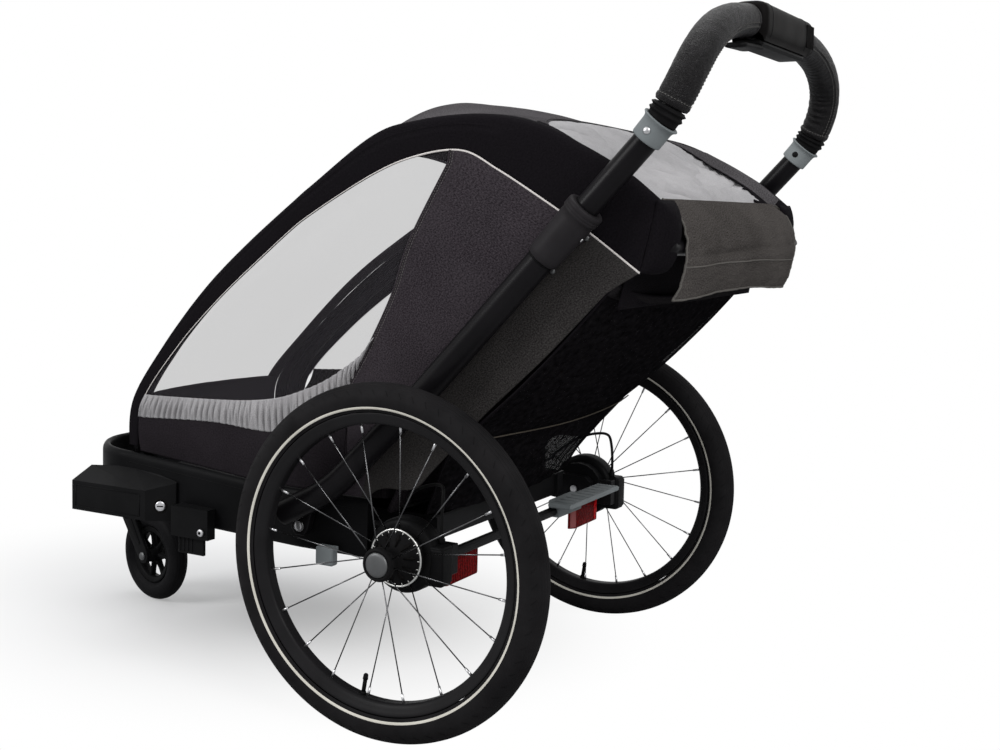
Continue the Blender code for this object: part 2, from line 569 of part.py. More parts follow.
# rear suspension, one body with both arms, and what it carries
susp = (0.0, PIVOT_Y, PIVOT_Z)
REFLECTOR = ((0.170, 0.030, 0.1975), (0.273, 0.0415, 0.2412))
for side, s in (("left", 1), ("right", -1)):
    def span(a, b):
        return sorted((s * a, s * b))
    x0, x1 = span(ARM_IN, ARM_OUT)
    arm = part("swing_arm_" + side,
               prism([(PIVOT_Y - 0.006, 0.283), (0.020, 0.272), (0.0290, 0.264), (0.0290, 0.232),
                      (0.0, 0.226), (PIVOT_Y - 0.006, 0.249)], "X", x0, x1), FRAME_MAT, susp)
    add(arm, rod((x0, PIVOT_Y, PIVOT_Z), (x1, PIVOT_Y, PIVOT_Z), 0.0175, 14))
    x0, x1 = span(ARM_OUT - 0.005, HOUSING_IN - GAP)
    add(arm, rod((x0, 0, AXLE_Z), (x1, 0, AXLE_Z), 0.043, 18))
    add(arm, box((x0, 0.02, 0.224), (x1, 0.063, 0.267), 0.001))
    x0, x1 = span(0.232, ARM_IN + 0.004)
    add(arm, box((x0, 0.012, 0.2150), (x1, REFLECTOR[0][1] - GAP, 0.2400), 0.001))
    x0, x1 = span(0.24, 0.31)
    cut(arm, rod((x0, 0, AXLE_Z), (x1, 0, AXLE_Z), PIN_R + BORE))
    cut(arm, rod((x0, BAR_Y, BAR_Z), (x1, BAR_Y, BAR_Z), BAR_R + BORE))
    cut(arm, rod((x0, PIVOT_Y, PIVOT_Z), (x1, PIVOT_Y, PIVOT_Z), SHAFT_R + BORE))
    x0, x1 = span(HOUSING_IN, HOUSING_OUT)
    lock = part("lock_housing_" + side,
                lathe([(0, x1), (0.046, x1), (HOUSING_R, x1 - 0.006), (HOUSING_R, x0 + 0.006),
                       (0.050, x0), (0, x0)], 20, (0, 0, AXLE_Z)), PLASTIC,
                (s * 0.315, 0, AXLE_Z))
    x0, x1 = span(0.3000, 0.3310)
    add(lock, box((x0, 0.015, 0.2125), (x1, 0.066, 0.2700), 0.003))
    x0, x1 = span(0.28, 0.35)
    cut(lock, rod((x0, 0, AXLE_Z), (x1, 0, AXLE_Z), PIN_R + BORE))
    x0, x1 = span(REFLECTOR[0][0], REFLECTOR[1][0])
    part("reflector_" + side, box((x0, REFLECTOR[0][1], REFLECTOR[0][2]),
                                  (x1, REFLECTOR[1][1], REFLECTOR[1][2]), 0.004, 2), RED, susp)
    base = (s * WHEEL_X, 0.0, AXLE_Z)
    out = (s, 0, 0)
    pin_in = 0.2585 - WHEEL_X
    part("axle_pin_" + side,
         lathe([(PIN_R, -0.0006), (PIN_R, pin_in), (0, pin_in), (0, -0.014), (0.0042, -0.014),
                (0.0042, -0.0006)], 16, base, out), STEEL, base)
    part("hub_button_" + side,
         lathe([(0, BUTTON_OUT), (0.008, BUTTON_OUT - 0.0008), (0.0135, BUTTON_OUT - 0.003),
                (BUTTON_R, 0.0165), (BUTTON_R, 0.0048), (0.0036, 0.0048), (0.0036, -0.0050),
                (0, -0.0050)], 16, base, out), ALLOY, base)
    x0, x1 = span(0.2850, 0.3040)
    slide = part("suspension_tab_" + side,
                 box((x0, TAB_Y - TAB_HALF, TAB_LOW), (x1, TAB_Y + TAB_HALF, TAB_HIGH), 0.0008), GREY,
                 (s * 0.31, TAB_Y, TAB_LOW))
    x0, x1 = span(0.3030, 0.3190)
    add(slide, box((x0, TAB_Y - TAB_HALF, 0.2130), (x1, TAB_Y + TAB_HALF, TAB_HIGH), 0.002))

    # fold pivot bolt through the rim and the foot of the push tube
    base_p = (0.0, PIVOT_Y, PIVOT_Z)
    lug_out = 0.3182
    part("fold_pivot_" + side,
         lathe([(0, 0.2845), (0.0090, 0.2845), (0.0090, 0.2876), (PIN_R, 0.2876), (PIN_R, lug_out + GAP),
                (0.0085, lug_out + GAP), (0.0080, lug_out + 0.0024), (0, lug_out + 0.0024)], 16, base_p, out),
         STEEL, base_p)
    # wheel: open tyre over the rim, hub with the spokes of both flanges
    wheel_side = []
    n = 8
    mid = TYRE_R - TYRE_W / 2
    half_w = TYRE_W / 2
    for k in range(n + 1):
        a = radians(-132) + radians(264) * k / n
        wheel_side.append((mid + half_w * cos(a), half_w * sin(a)))
    inner = []
    for k in range(4):
        a = radians(120) - radians(240) * k / 3
        inner.append((mid + (half_w - TYRE_WALL) * cos(a), (half_w - TYRE_WALL) * sin(a)))
    part("tyre_" + side, lathe(wheel_side + inner, RIM_STEPS, base, out), TYRE, base)
    bead_r, bead_h = wheel_side[-1]
    rim = part("rim_" + side,
               lathe([(RIM_IN_R, 0.0075), (RIM_IN_R + 0.004, 0.0110), (bead_r - 0.0008, bead_h + 0.0004),
                      (bead_r - 0.0008, bead_h - 0.0045), (RIM_IN_R + 0.0045, 0.0060),
                      (RIM_IN_R + 0.0045, -0.0060), (bead_r - 0.0008, -bead_h + 0.0045),
                      (bead_r - 0.0008, -bead_h - 0.0004), (RIM_IN_R + 0.004, -0.0110),
                      (RIM_IN_R, -0.0075)], RIM_STEPS, base, out), RIM_MAT, base)
    valve = Vector((0, -sin(radians(9)), -cos(radians(9))))
    add(rim, rod(Vector(base) + valve * (RIM_IN_R + 0.002), Vector(base) + valve * (RIM_IN_R - 0.030),
                 0.003, 8, 0.0022))
    hub = part("hub_spokes_" + side,
               lathe([(CAP_R - 0.0005, HUB_OUT), (CAP_R, HUB_OUT - 0.0015), (CAP_R, 0.0095),
                      (BUTTON_R + 0.0048, 0.0025), (BUTTON_R + 0.0030, -0.0030), (BARREL_R, -0.0085),
                      (BARREL_R, -0.026),
                      (0.030, -0.0310), (FLANGE_R, -0.0335), (FLANGE_R, -0.0425), (0.032, HUB_IN),
                      (PIN_R + BORE, HUB_IN), (PIN_R + BORE, -0.0002), (BUTTON_R + 0.0005, -0.0002),
                      (BUTTON_R + 0.0005, HUB_OUT)], 18, base, out), RUBBER, base)
    spokes = bmesh.new()
    spoke_end = RIM_IN_R * cos(pi / RIM_STEPS) - GAP
    for k in range(2 * SPOKES):
        a = pi * k / SPOKES + SPOKE_TURN
        d = Vector((0, sin(a), cos(a)))
        r0, h0 = (CAP_R - 0.004, 0.0125) if k % 2 else (FLANGE_R - 0.004, -0.0380)
        spokes.from_mesh(rod(Vector(base) + d * r0 + Vector(out) * h0, Vector(base) + d * spoke_end,
                             SPOKE_R, 4))
    me = bpy.data.meshes.new("spokes")
    spokes.to_mesh(me)
    spokes.free()
    add(hub, me)

# brake bar, pedal and cable
part("brake_bar", rod((-HOUSING_IN + 0.001, BAR_Y, BAR_Z), (HOUSING_IN - 0.001, BAR_Y, BAR_Z), BAR_R),
     FRAME_MAT, (0, BAR_Y, BAR_Z))
pedal = part("brake_pedal", box((-0.155, BAR_Y - 0.0085, BAR_Z - 0.0095),
                                 (-0.065, BAR_Y + 0.0120, BAR_Z + 0.0185), 0.002), PLASTIC,
             (0, BAR_Y, BAR_Z))
add(pedal, box((-0.230, BAR_Y + 0.0070, BAR_Z + 0.0135), (-0.030, BAR_Y + 0.0480, BAR_Z + 0.0215), 0.002))
cut(pedal, rod((-0.240, BAR_Y, BAR_Z), (0, BAR_Y, BAR_Z), BAR_R + BORE))
CABLE_R = 0.0024
lead = [(0.3075, 0.052, 0.0204), (0.3080, 0.052, 0.0350), (0.3075, 0.052, 0.0550), (0.3055, 0.051, 0.075),
        (0.3000, 0.049, 0.0920), (0.2930, 0.043, 0.0980), (0.2870, 0.031, 0.0980), (0.2830, 0.014, 0.0940),
        (0.2790, -0.008, 0.0840), (0.2700, -0.026, 0.0700), (0.2500, -0.036, 0.0580), (0.2200, -0.040, 0.0510)]
lead = [(x, y, AXLE_Z + z) for x, y, z in lead]
route = lead + [(-x, y, z) for x, y, z in reversed(lead)]
part("brake_cable", sweep(route, CABLE_R, 5), CABLE)

# push frame
dir_yz = Vector((0, *TUBE_DIR)).normalized()
fold = (0.0, PIVOT_Y, PIVOT_Z)


def on_tube(u, s):
    """Point on the telescope axis, u measured from the top of the outer tube."""
    return Vector((s * TUBE_X, TUBE_TOP[0], TUBE_TOP[1])) + dir_yz * u


def bow_half(n):
    """Centre line of the handlebar from the left leg to the middle."""
    start = Vector((TUBE_X, *BOW_START))
    pts = []
    steps = 60
    y, z, s0 = start.y, start.z, 0.0
    rise = [(0.0, y, z)]
    for k in range(steps):
        a = BOW_A0 + (BOW_A1 - BOW_A0) * (k + 0.5) / steps
        y += cos(a) * BOW_H / steps
        z += sin(a) * BOW_H / steps
        rise.append((BOW_H * (k + 1) / steps, y, z))
    for k in range(n + 1):
        th = pi / 2 * k / n
        c, si = cos(th), sin(th)
        x = TUBE_X * max(c, 0.0) ** (2 / BOW_N)
        h = BOW_H * si ** (2 / BOW_N)
        f = min(h / BOW_H * steps, steps - 1e-6)
        a, b = rise[int(f)], rise[int(f) + 1]
        w = f - int(f)
        pts.append(Vector((x, a[1] + (b[1] - a[1]) * w, a[2] + (b[2] - a[2]) * w)))
    return pts


raw = [on_tube(-LEG_IN, 1), on_tube(-0.02, 1), on_tube(0.060, 1), on_tube(0.110, 1)] + bow_half(60)[1:]
mirror = [Vector((-p.x, p.y, p.z)) for p in reversed(raw[:-1])]
full = raw + mirror
lengths = [0.0]
for a, b in zip(full, full[1:]):
    lengths.append(lengths[-1] + (b - a).length)
TOTAL = lengths[-1]


def at(s):
    """Point on the handlebar centre line at a length from the left lower end."""
    s = min(max(s, 0.0), TOTAL)
    for k in range(len(full) - 1):
        if s <= lengths[k + 1]:
            f = (s - lengths[k]) / (lengths[k + 1] - lengths[k])
            return full[k].lerp(full[k + 1], f)
    return full[-1]


S_COLLAR = LEG_IN + 0.108
S_RING = (LEG_IN + RING_AT[0], LEG_IN + RING_AT[1])
S_GRIP = (LEG_IN + GRIP_AT, TOTAL / 2 - CONSOLE_X - 0.0060)
GRIP_STEPS = 8
left_s = [0.0, S_COLLAR, S_RING[0], S_RING[1]]
left_s += [S_GRIP[0] + (S_GRIP[1] - S_GRIP[0]) * k / GRIP_STEPS for k in range(GRIP_STEPS + 1)]
left_s += [TOTAL / 2 - CONSOLE_X * 0.55]
bar_path = [at(q) for q in left_s]
bar_path += [at(TOTAL / 2)] + [Vector((-p.x, p.y, p.z)) for p in reversed(bar_path)]
part("handlebar_tube", sweep(bar_path, LEG_R, 12), TUBE_MAT, (0.0, *TUBE_TOP))
slide_o = (0.0, *TUBE_TOP)
for side, s in (("left", 1), ("right", -1)):
    foot = [Vector((s * TUBE_X, y, z)) for y, z in TUBE_FOOT] + [on_tube(-0.36, s), on_tube(0, s)]
    tube = part("push_tube_" + side, sweep(foot, TUBE_R, 14), TUBE_MAT, fold)
    x0, x1 = sorted((s * 0.3055, s * 0.3182))
    add(tube, prism([(-0.2000, 0.2620), (-0.1920, 0.2520), (-0.1780, 0.2520), (-0.1700, 0.2620),
                     (-0.1600, 0.3000), (-0.1800, 0.3020), (-0.2020, 0.2900)], "X", x0, x1))
    cut(tube, rod((s * 0.29, PIVOT_Y, PIVOT_Z), (s * 0.319, PIVOT_Y, PIVOT_Z), PIN_R + BORE))
    cut(tube, rod(on_tube(-BORE_DEPTH, s), on_tube(0.02, s), TUBE_BORE, 14))
    part("tube_clamp_" + side,
         lathe([(LEG_R + 0.0008, 0.006), (CLAMP_R - 0.002, 0.006), (CLAMP_R, 0.003), (CLAMP_R, -0.007),
                (CLAMP_R - 0.0018, -0.010), (CLAMP_LOW_R, -CLAMP_LEN), (TUBE_R + 0.0006, -CLAMP_LEN),
                (TUBE_R + 0.0006, 0.0004), (LEG_R + 0.0008, 0.0004)], 16, on_tube(0, s), dir_yz),
         PLASTIC, fold)
    low, high = at(S_COLLAR), at(S_RING[0])
    low.x *= s
    high.x *= s
    axis = (high - low).normalized()
    c = low + axis * (COLLAR_AT - 0.108)
    collar = part("collar_" + side,
                  lathe([(LEG_R + 0.0007, -0.017), (0.0205, -0.017), (0.0210, 0.009), (0.0250, 0.0120),
                         (0.0250, 0.0138), (LEG_R + 0.0007, 0.0138)], 16, c, axis), GREY, slide_o)
    rivet = c - axis * 0.003
    add(collar, rod(rivet + Vector((s * 0.0185, 0, 0)), rivet + Vector((s * 0.0222, 0, 0)), 0.0048, 10))
    ridge = [0.0215, 0.0240, 0.0200, 0.0200, 0.0240, 0.0215]
    a, b = at(S_RING[0]), at(S_RING[1])
    pts = [a.lerp(b, k / 5) for k in range(6)]
    part("stop_ring_" + side, sweep([Vector((s * p.x, p.y, p.z)) for p in pts], ridge, 12, LEG_R + 0.0009),
         RUBBER, slide_o)
    pts = [at(q) for q in left_s[4:4 + GRIP_STEPS + 1]]
    heading = Vector((s * (b.x - a.x), b.y - a.y, b.z - a.z))
    part("grip_" + side, sweep([Vector((s * p.x, p.y, p.z)) for p in pts], GRIP_R, 12, LEG_R + 0.0009,
                               heading), LEATHER, slide_o)
mid_bar = at(TOTAL / 2)
console = part("console", box((-CONSOLE_X, mid_bar.y - 0.0275, mid_bar.z - 0.0290),
                              (CONSOLE_X, mid_bar.y + 0.0275, mid_bar.z + 0.0265), 0.009, 2), PLASTIC, slide_o)
cut(console, sweep(bar_path[len(left_s) - 3:len(left_s) + 4], LEG_R + 0.0006, 12))
LEVER_TRAVEL = 0.006
LEVER_HALF = 0.0199
LEVER_FIT = 0.0006
cut(console, box((-0.105, mid_bar.y - LEVER_HALF - LEVER_FIT, mid_bar.z - 0.07),
                 (0.2, mid_bar.y + LEVER_HALF + LEVER_FIT, mid_bar.z - 0.0255 + LEVER_TRAVEL + 0.001)))
lever = part("height_lever", box((-0.1035, mid_bar.y - LEVER_HALF, mid_bar.z - 0.0440),
                                 (0.1170, mid_bar.y + LEVER_HALF, mid_bar.z - 0.0255), 0.003), PLASTIC,
             slide_o)
add(lever, box((0.1100, mid_bar.y - 0.0165, mid_bar.z - 0.0540),
               (0.1520, mid_bar.y + 0.0165, mid_bar.z - 0.0380), 0.003))
add(lever, box((0.1420, mid_bar.y - 0.0150, mid_bar.z - 0.0600),
               (0.1900, mid_bar.y + 0.0150, mid_bar.z - 0.0438), 0.004))

# hoop under the cloth with its canopy bow
hoop_side = []
for k in range(0, 13):
    t = k * 1.0
    o = smooth_at(OUTER, t)
    i = smooth_at(INNER, t)
    d = (i - o).normalized()
    p = o + d * ARCH_IN
    hoop_side.append(Vector((cab(p.x) - ARCH_DEPTH, p.x, p.y)))
hoop_side = [Vector((hoop_side[0].x, HOOP_PIN[0], 0.3235))] + hoop_side
last = hoop_side[-1]
hoop_side += [Vector((last.x - 0.002, last.y + 0.010, last.z - 0.020)),
              Vector((last.x - 0.016, last.y + 0.0155, last.z - 0.036)),
              Vector((last.x - 0.045, last.y + 0.0168, last.z - 0.044))]
hoop_path = hoop_side + [Vector((-p.x, p.y, p.z)) for p in reversed(hoop_side)]
hinge = (0.0, *HOOP_PIN)
hoop = part("hoop_frame", sweep(hoop_path, ARCH_R, 8), TUBE_MAT, hinge)
cut(hoop, rod((-0.27, *HOOP_PIN), (0.27, *HOOP_PIN), HOOP_PIN_R + 0.0004, 12))
bow_o = smooth_at(OUTER, BOW_T)
bow_up = (bow_o - smooth_at(INNER, BOW_T)).normalized()
bow_crown = smooth_at([(c, 0.0) for c in CROWN], BOW_T).x
bow_reach = cab(bow_o.x) - ROOF_EDGE
bow_end = cab(bow_o.x) - ARCH_DEPTH - ARCH_R - 0.0018
bow_pts = []
for k in range(13):
    u = -0.93 + 1.86 * k / 12
    h = bow_crown * (1 - abs(u) ** CROWN_POWER) - BOW_SINK - 0.006 * abs(u) ** 6
    bow_pts.append(Vector((u * bow_reach, bow_o.x + bow_up.x * h, bow_o.y + bow_up.y * h)))
for u in (-1, 1):
    end = Vector((u * bow_end, bow_o.x - bow_up.x * ARCH_IN, bow_o.y - bow_up.y * ARCH_IN))
    bow_pts.insert(0 if u < 0 else len(bow_pts), end)
part("canopy_bow", sweep(bow_pts, BOW_R, 8), TUBE_MAT, hinge)

# seat: base cushion and back
SEAM_DEPTH = 0.004


def pillow(name, corner, along, side, n_dir, size, crown, mat):
    """Padded panel with drawn-in sides: size is (length, width, thickness)."""
    nl, nw = 7, 9
    top, low = [], []
    for i in range(nl):
        rt, rl = [], []
        for j in range(nw):
            u, v = -1 + 2 * i / (nl - 1), -1 + 2 * j / (nw - 1)
            edge = (1 - abs(u) ** 6) * (1 - abs(v) ** 6)
            p = corner + along * (size[0] * (u * 0.5 + 0.5)) + side * (size[1] * v * 0.5)
            lift = size[2] * 0.5 + crown * (1 - u * u) * (1 - v * v)
            channel = SEAM_DEPTH if j == nw // 2 else 0.0
            rt.append(p + n_dir * (size[2] * 0.5 * 0.35 + (lift - size[2] * 0.5 * 0.35) * edge - channel))
            rl.append(p - n_dir * (size[2] * 0.5 * (0.35 + 0.65 * edge)))
        top.append(rt)
        low.append(rl)
    verts = [p for r in top for p in r] + [p for r in low for p in r]
    m = nl * nw
    faces = []
    for i in range(nl - 1):
        for j in range(nw - 1):
            a, b, c, d = i * nw + j, i * nw + j + 1, (i + 1) * nw + j + 1, (i + 1) * nw + j
            faces.append((a, b, c, d))
            faces.append((m + a, m + d, m + c, m + b))
    edge = [(0, j) for j in range(nw)] + [(i, nw - 1) for i in range(1, nl)]
    edge += [(nl - 1, j) for j in range(nw - 2, -1, -1)] + [(i, 0) for i in range(nl - 2, 0, -1)]
    for k, (i, j) in enumerate(edge):
        p, q = edge[(k + 1) % len(edge)]
        faces.append((p * nw + q, i * nw + j, m + i * nw + j, m + p * nw + q))
    return part(name, closed(verts, faces), mat)


SEAT_BASE = FRAME_TOP + GAP + PAN_T + 0.0006
SEAT_T = 0.052
BACK_FOOT = 0.2895
pillow("seat_cushion", Vector((0, SEAT_FRONT, SEAT_BASE + SEAT_T / 2)), Vector((0, 1, 0)), Vector((1, 0, 0)),
       Vector((0, 0, 1)), (0.285, 0.47, SEAT_T), 0.010, CHARCOAL)
back_dir = Vector((0, 0.185, 0.385)).normalized()
back_n = Vector((0, -back_dir.z, back_dir.y))
pillow("seat_back", Vector((0, -0.0710, BACK_FOOT)), back_dir, Vector((1, 0, 0)), back_n,
       (0.470, 0.50, 0.022), 0.006, CHARCOAL)


# side covers, bands
for side, s in (("left", 1), ("right", -1)):
    foot_line = [(y, rim_top(y) + SEAM) for y in HEM_Y] + REAR_EDGE
    grid = []
    cols = 17
    rows = 5
    for k in range(cols):
        t = 12.0 * k / (cols - 1)
        b = smooth_at(foot_line, t)
        if t < 6:
            b.y = rim_top(b.x) + SEAM
        i = smooth_at(INNER, t)
        d = i - b
        top = i - d.normalized() * SEAM
        line = []
        for v in range(rows):
            p = b.lerp(top, v / (rows - 1))
            line.append((s * (cab(p.x) + CLOTH_T / 2), p.x, p.y))
        grid.append(line)

    def zone(p):
        y, z = p.y, p.z
        ahead = y < line_at([(b, a) for a, b in PANEL_EDGE], z)
        if ahead and z > line_at(STRIP_TOP, y):
            return 1
        if ahead and y < -0.07 and z > line_at(STRIP_LOW, y):
            return 2
        return 0

    part("side_cover_" + side, sheet(grid, CLOTH_T * s, zone), [CHARCOAL, FILM, LIGHT], hinge)
    grid = []
    for k in range(cols):
        t = 12.0 * k / (cols - 1)
        o = smooth_at(OUTER, t)
        i = smooth_at(INNER, t)
        w = (i - o).length
        d = (i - o).normalized()
        line = []
        for along, deep in ((w, 0.0), (w * 0.5, 0.0), (0.015, 0.0), (0.0045, 0.0035), (0.0, 0.013),
                            (0.0, BAND_WRAP)):
            p = o + d * along
            line.append((s * (cab(p.x) + CLOTH_T / 2 - deep), p.x, p.y))
        grid.append(line)
    part("arch_band_" + side, sheet(grid, -CLOTH_T * s), BAND, hinge)


def crowned(places, m):
    """Cloth between the two bands over the given places on the outline."""
    rows = []
    for t in places:
        o = smooth_at(OUTER, t)
        i = smooth_at(INNER, t)
        d = (o - i).normalized()
        crown = smooth_at([(c, 0.0) for c in CROWN], t).x
        reach = cab(o.x) - ROOF_EDGE
        line = []
        for j in range(m + 1):
            u = -1 + 2 * j / m
            h = crown * (1 - abs(u) ** CROWN_POWER)
            line.append(Vector((u * reach, o.x + d.x * h, o.y + d.y * h)))
        rows.append(line)
    return rows


COVER_START = 0.02
cover_places = [COVER_START + (COVER_END - COVER_START) * k / 8 for k in range(9)]
part("front_cover", sheet(crowned(cover_places, 8), CLOTH_T, lambda p: 1 if p.z > 0.44 else 0),
     [CHARCOAL, FILM], hinge)
part("canopy_roof", sheet(crowned([ROOF_START, BOW_T, 6.5, 7.0, 7.8, 8.8, 9.8, 11.0, 12.0], 8), CLOTH_T,
                          lambda p: 1 if p.y > 0.165 and p.y < 0.33 else 0), [CHARCOAL, LIGHT], hinge)

# rear flap and mesh storage bag
FLAP = [(0.3516, 0.7506), (0.3780, 0.7150), (0.3860, 0.6800), (0.3780, 0.6470), (0.3640, 0.6240)]
FLAP_BULGE = [0.034, 0.034, 0.030, 0.024, 0.018]
FLAP_X = 0.2900
rows = []
for k in range(7):
    t = 4.0 * k / 6
    p = smooth_at(FLAP, t)
    bulge = smooth_at([(c, 0.0) for c in FLAP_BULGE], t).x
    across = [-1 + 2 * j / 8 for j in range(9)]
    rows.append([Vector((u * FLAP_X, p.x + bulge * (1 - u * u), p.y)) for u in across])
part("rear_flap", sheet(rows, -CLOTH_T), CHARCOAL, hinge)
BAG = [(0.2780, 0.6215), (0.2260, 0.5620), (0.1620, 0.4960), (0.1030, 0.4420), (0.0620, 0.4060),
       (0.0320, 0.3650), (0.0060, 0.3250), (-0.0100, 0.2920)]
BAG_BULGE = [0.080, 0.080, 0.076, 0.074, 0.068, 0.064, 0.058, 0.050]
BAG_X = [0.2980, 0.2980, 0.2980, 0.2980, 0.2960, 0.2780, 0.2540, 0.2440]
rows = []
for k in range(10):
    t = 7.0 * k / 9
    p = smooth_at(BAG, t)
    bulge = smooth_at([(c, 0.0) for c in BAG_BULGE], t).x
    reach = smooth_at([(c, 0.0) for c in BAG_X], t).x
    line = []
    for j in range(11):
        u = -1 + 2 * j / 10
        out = bulge * (1 - abs(u) ** 2.5)
        line.append(Vector((u * reach, p.x + out, p.y - 0.10 * out)))
    rows.append(line)
part("mesh_bag", sheet(rows, -CLOTH_T), MESH, hinge)
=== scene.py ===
import bpy
import bmesh
import json
import math
import numpy as np
from math import cos, sin, pi, radians
from mathutils import Vector, Matrix, noise

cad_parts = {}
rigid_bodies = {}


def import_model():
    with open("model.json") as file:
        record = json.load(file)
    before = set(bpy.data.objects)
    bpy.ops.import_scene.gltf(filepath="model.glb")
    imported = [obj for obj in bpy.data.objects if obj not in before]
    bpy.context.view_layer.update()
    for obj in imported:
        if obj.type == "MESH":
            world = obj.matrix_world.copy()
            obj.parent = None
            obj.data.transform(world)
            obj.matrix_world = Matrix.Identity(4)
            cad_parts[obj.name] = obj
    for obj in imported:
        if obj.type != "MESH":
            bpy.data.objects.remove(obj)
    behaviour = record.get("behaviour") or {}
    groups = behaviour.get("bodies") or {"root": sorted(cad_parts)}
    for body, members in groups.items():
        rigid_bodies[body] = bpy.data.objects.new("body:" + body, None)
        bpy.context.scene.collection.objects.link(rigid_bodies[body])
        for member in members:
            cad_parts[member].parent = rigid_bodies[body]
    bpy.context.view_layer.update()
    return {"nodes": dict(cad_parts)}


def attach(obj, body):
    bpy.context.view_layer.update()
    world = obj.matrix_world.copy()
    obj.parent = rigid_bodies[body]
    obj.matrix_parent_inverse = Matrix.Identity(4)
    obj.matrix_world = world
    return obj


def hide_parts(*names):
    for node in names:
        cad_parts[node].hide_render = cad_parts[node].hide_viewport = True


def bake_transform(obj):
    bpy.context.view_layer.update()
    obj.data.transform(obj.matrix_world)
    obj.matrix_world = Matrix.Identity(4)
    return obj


# Child bike trailer. Metres, +Z up, travel towards -Y, left side at +X.
# All points below are measured from the rear axle, which lies AXLE_Y behind the middle.

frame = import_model()
nodes = frame["nodes"]
AXLE_Y = 0.1894
SIDES = (("left", 1.0), ("right", -1.0))

# Camera, solved from the photo
CAM_AT = (1.9785, 0.9843, 0.7276)
YAW, PITCH, ROLL = radians(58.44), radians(4.43), radians(0.816)
cam_data = bpy.data.cameras.new("camera")
cam = bpy.data.objects.new("camera", cam_data)
bpy.context.scene.collection.objects.link(cam)
fwd = Vector((-sin(YAW) * cos(PITCH), -cos(YAW) * cos(PITCH), -sin(PITCH)))
level_x = fwd.cross(Vector((0, 0, 1))).normalized()
level_y = level_x.cross(fwd)
cam_x = level_x * cos(ROLL) + level_y * sin(ROLL)
cam_y = level_y * cos(ROLL) - level_x * sin(ROLL)
cam.matrix_world = Matrix(((cam_x.x, cam_y.x, -fwd.x, CAM_AT[0]),
                           (cam_x.y, cam_y.y, -fwd.y, CAM_AT[1] + AXLE_Y),
                           (cam_x.z, cam_y.z, -fwd.z, CAM_AT[2]), (0, 0, 0, 1)))
cam_data.lens, cam_data.sensor_width, cam_data.clip_end = 49.903, 36.0, 60.0
cam_data.sensor_fit = "HORIZONTAL"
cam_data.shift_x, cam_data.shift_y = 0.1123, -0.0525
bpy.context.scene.camera = cam


# Materials
def feed(tree, socket, v):
    """Give an input a value, or link another node's output to it."""
    if isinstance(v, bpy.types.NodeSocket):
        tree.links.new(v, socket)
    elif v is not None:
        socket.default_value = v


def add_node(tree, kind, inputs=(), **props):
    n = tree.nodes.new(kind)
    for k, v in props.items():
        setattr(n, k, v)
    for k, v in dict(inputs).items():
        feed(tree, n.inputs[k], v)
    return n


class Shader:
    """Small builder for one node material."""

    def __init__(self, name, base, rough, metal=0.0, spec=0.5):
        self.m = bpy.data.materials.new(name)
        self.m.use_nodes = True
        self.t = self.m.node_tree
        self.b = self.t.nodes["Principled BSDF"]
        self.m.diffuse_color = (*base, 1.0)
        self.set("Base Color", (*base, 1.0)).set("Roughness", rough).set("Metallic", metal)
        self.set("Specular IOR Level", spec)
        self.coords = self.node("ShaderNodeTexCoord")

    def set(self, key, v):
        feed(self.t, self.b.inputs[key], v)
        return self

    def node(self, kind, inputs=(), **props):
        return add_node(self.t, kind, inputs, **props)

    def noise(self, scale, detail=3.0, rough=0.55, use="Object", stretch=None):
        at = self.coords.outputs[use]
        if stretch:
            at = self.node("ShaderNodeMapping", {"Scale": stretch, "Vector": at}).outputs["Vector"]
        return self.node("ShaderNodeTexNoise", {"Scale": scale, "Detail": detail, "Roughness": rough,
                                                "Vector": at}).outputs["Fac"]

    def voronoi(self, scale, use="Object", feature="F1"):
        return self.node("ShaderNodeTexVoronoi", {"Scale": scale, "Vector": self.coords.outputs[use]},
                         feature=feature).outputs["Distance"]

    def wave(self, scale, direction="X", use="UV", distort=0.0, dscale=1.0):
        return self.node("ShaderNodeTexWave", {"Scale": scale, "Distortion": distort, "Detail Scale": dscale,
                                               "Vector": self.coords.outputs[use]},
                         wave_type="BANDS", bands_direction=direction, wave_profile="SIN").outputs["Fac"]

    def ramp(self, fac, stops):
        n = self.node("ShaderNodeValToRGB", {"Fac": fac})
        e = n.color_ramp.elements
        e.remove(e[-1])
        e[0].position, e[0].color = stops[0][0], (*stops[0][1], 1.0)
        for p, c in stops[1:]:
            e.new(p).color = (*c, 1.0)
        return n.outputs["Color"]

    def math(self, op, a, b):
        return self.node("ShaderNodeMath", {0: a, 1: b}, operation=op).outputs[0]

    def span(self, fac, lo, hi, **ends):
        """Carry a factor over to the range lo to hi."""
        inputs = {k.replace("_", " "): v for k, v in ends.items()}
        return self.node("ShaderNodeMapRange", {"To Min": lo, "To Max": hi, "Value": fac,
                                                **inputs}).outputs["Result"]

    def colour(self, fac, lo, dark, hi, light):
        return self.set("Base Color", self.ramp(fac, [(lo, dark), (hi, light)]))

    def rough(self, fac, lo, hi):
        return self.set("Roughness", self.span(fac, lo, hi))

    def bump(self, height, strength, distance, after=None):
        n = self.node("ShaderNodeBump", {"Strength": strength, "Distance": distance, "Height": height,
                                         "Normal": after})
        self.set("Normal", n.outputs["Normal"])
        return n.outputs["Normal"]


def plastic(name, dark, light, rough, grain=900.0, depth=0.00012, spec=0.03):
    s = Shader(name, dark, rough, spec=spec)
    s.colour(s.noise(9.0, 4.0), 0.30, dark, 0.72, light)
    s.rough(s.noise(24.0, 5.0), rough - 0.07, rough + 0.09)
    s.bump(s.voronoi(grain), 0.5, depth)
    return s.m


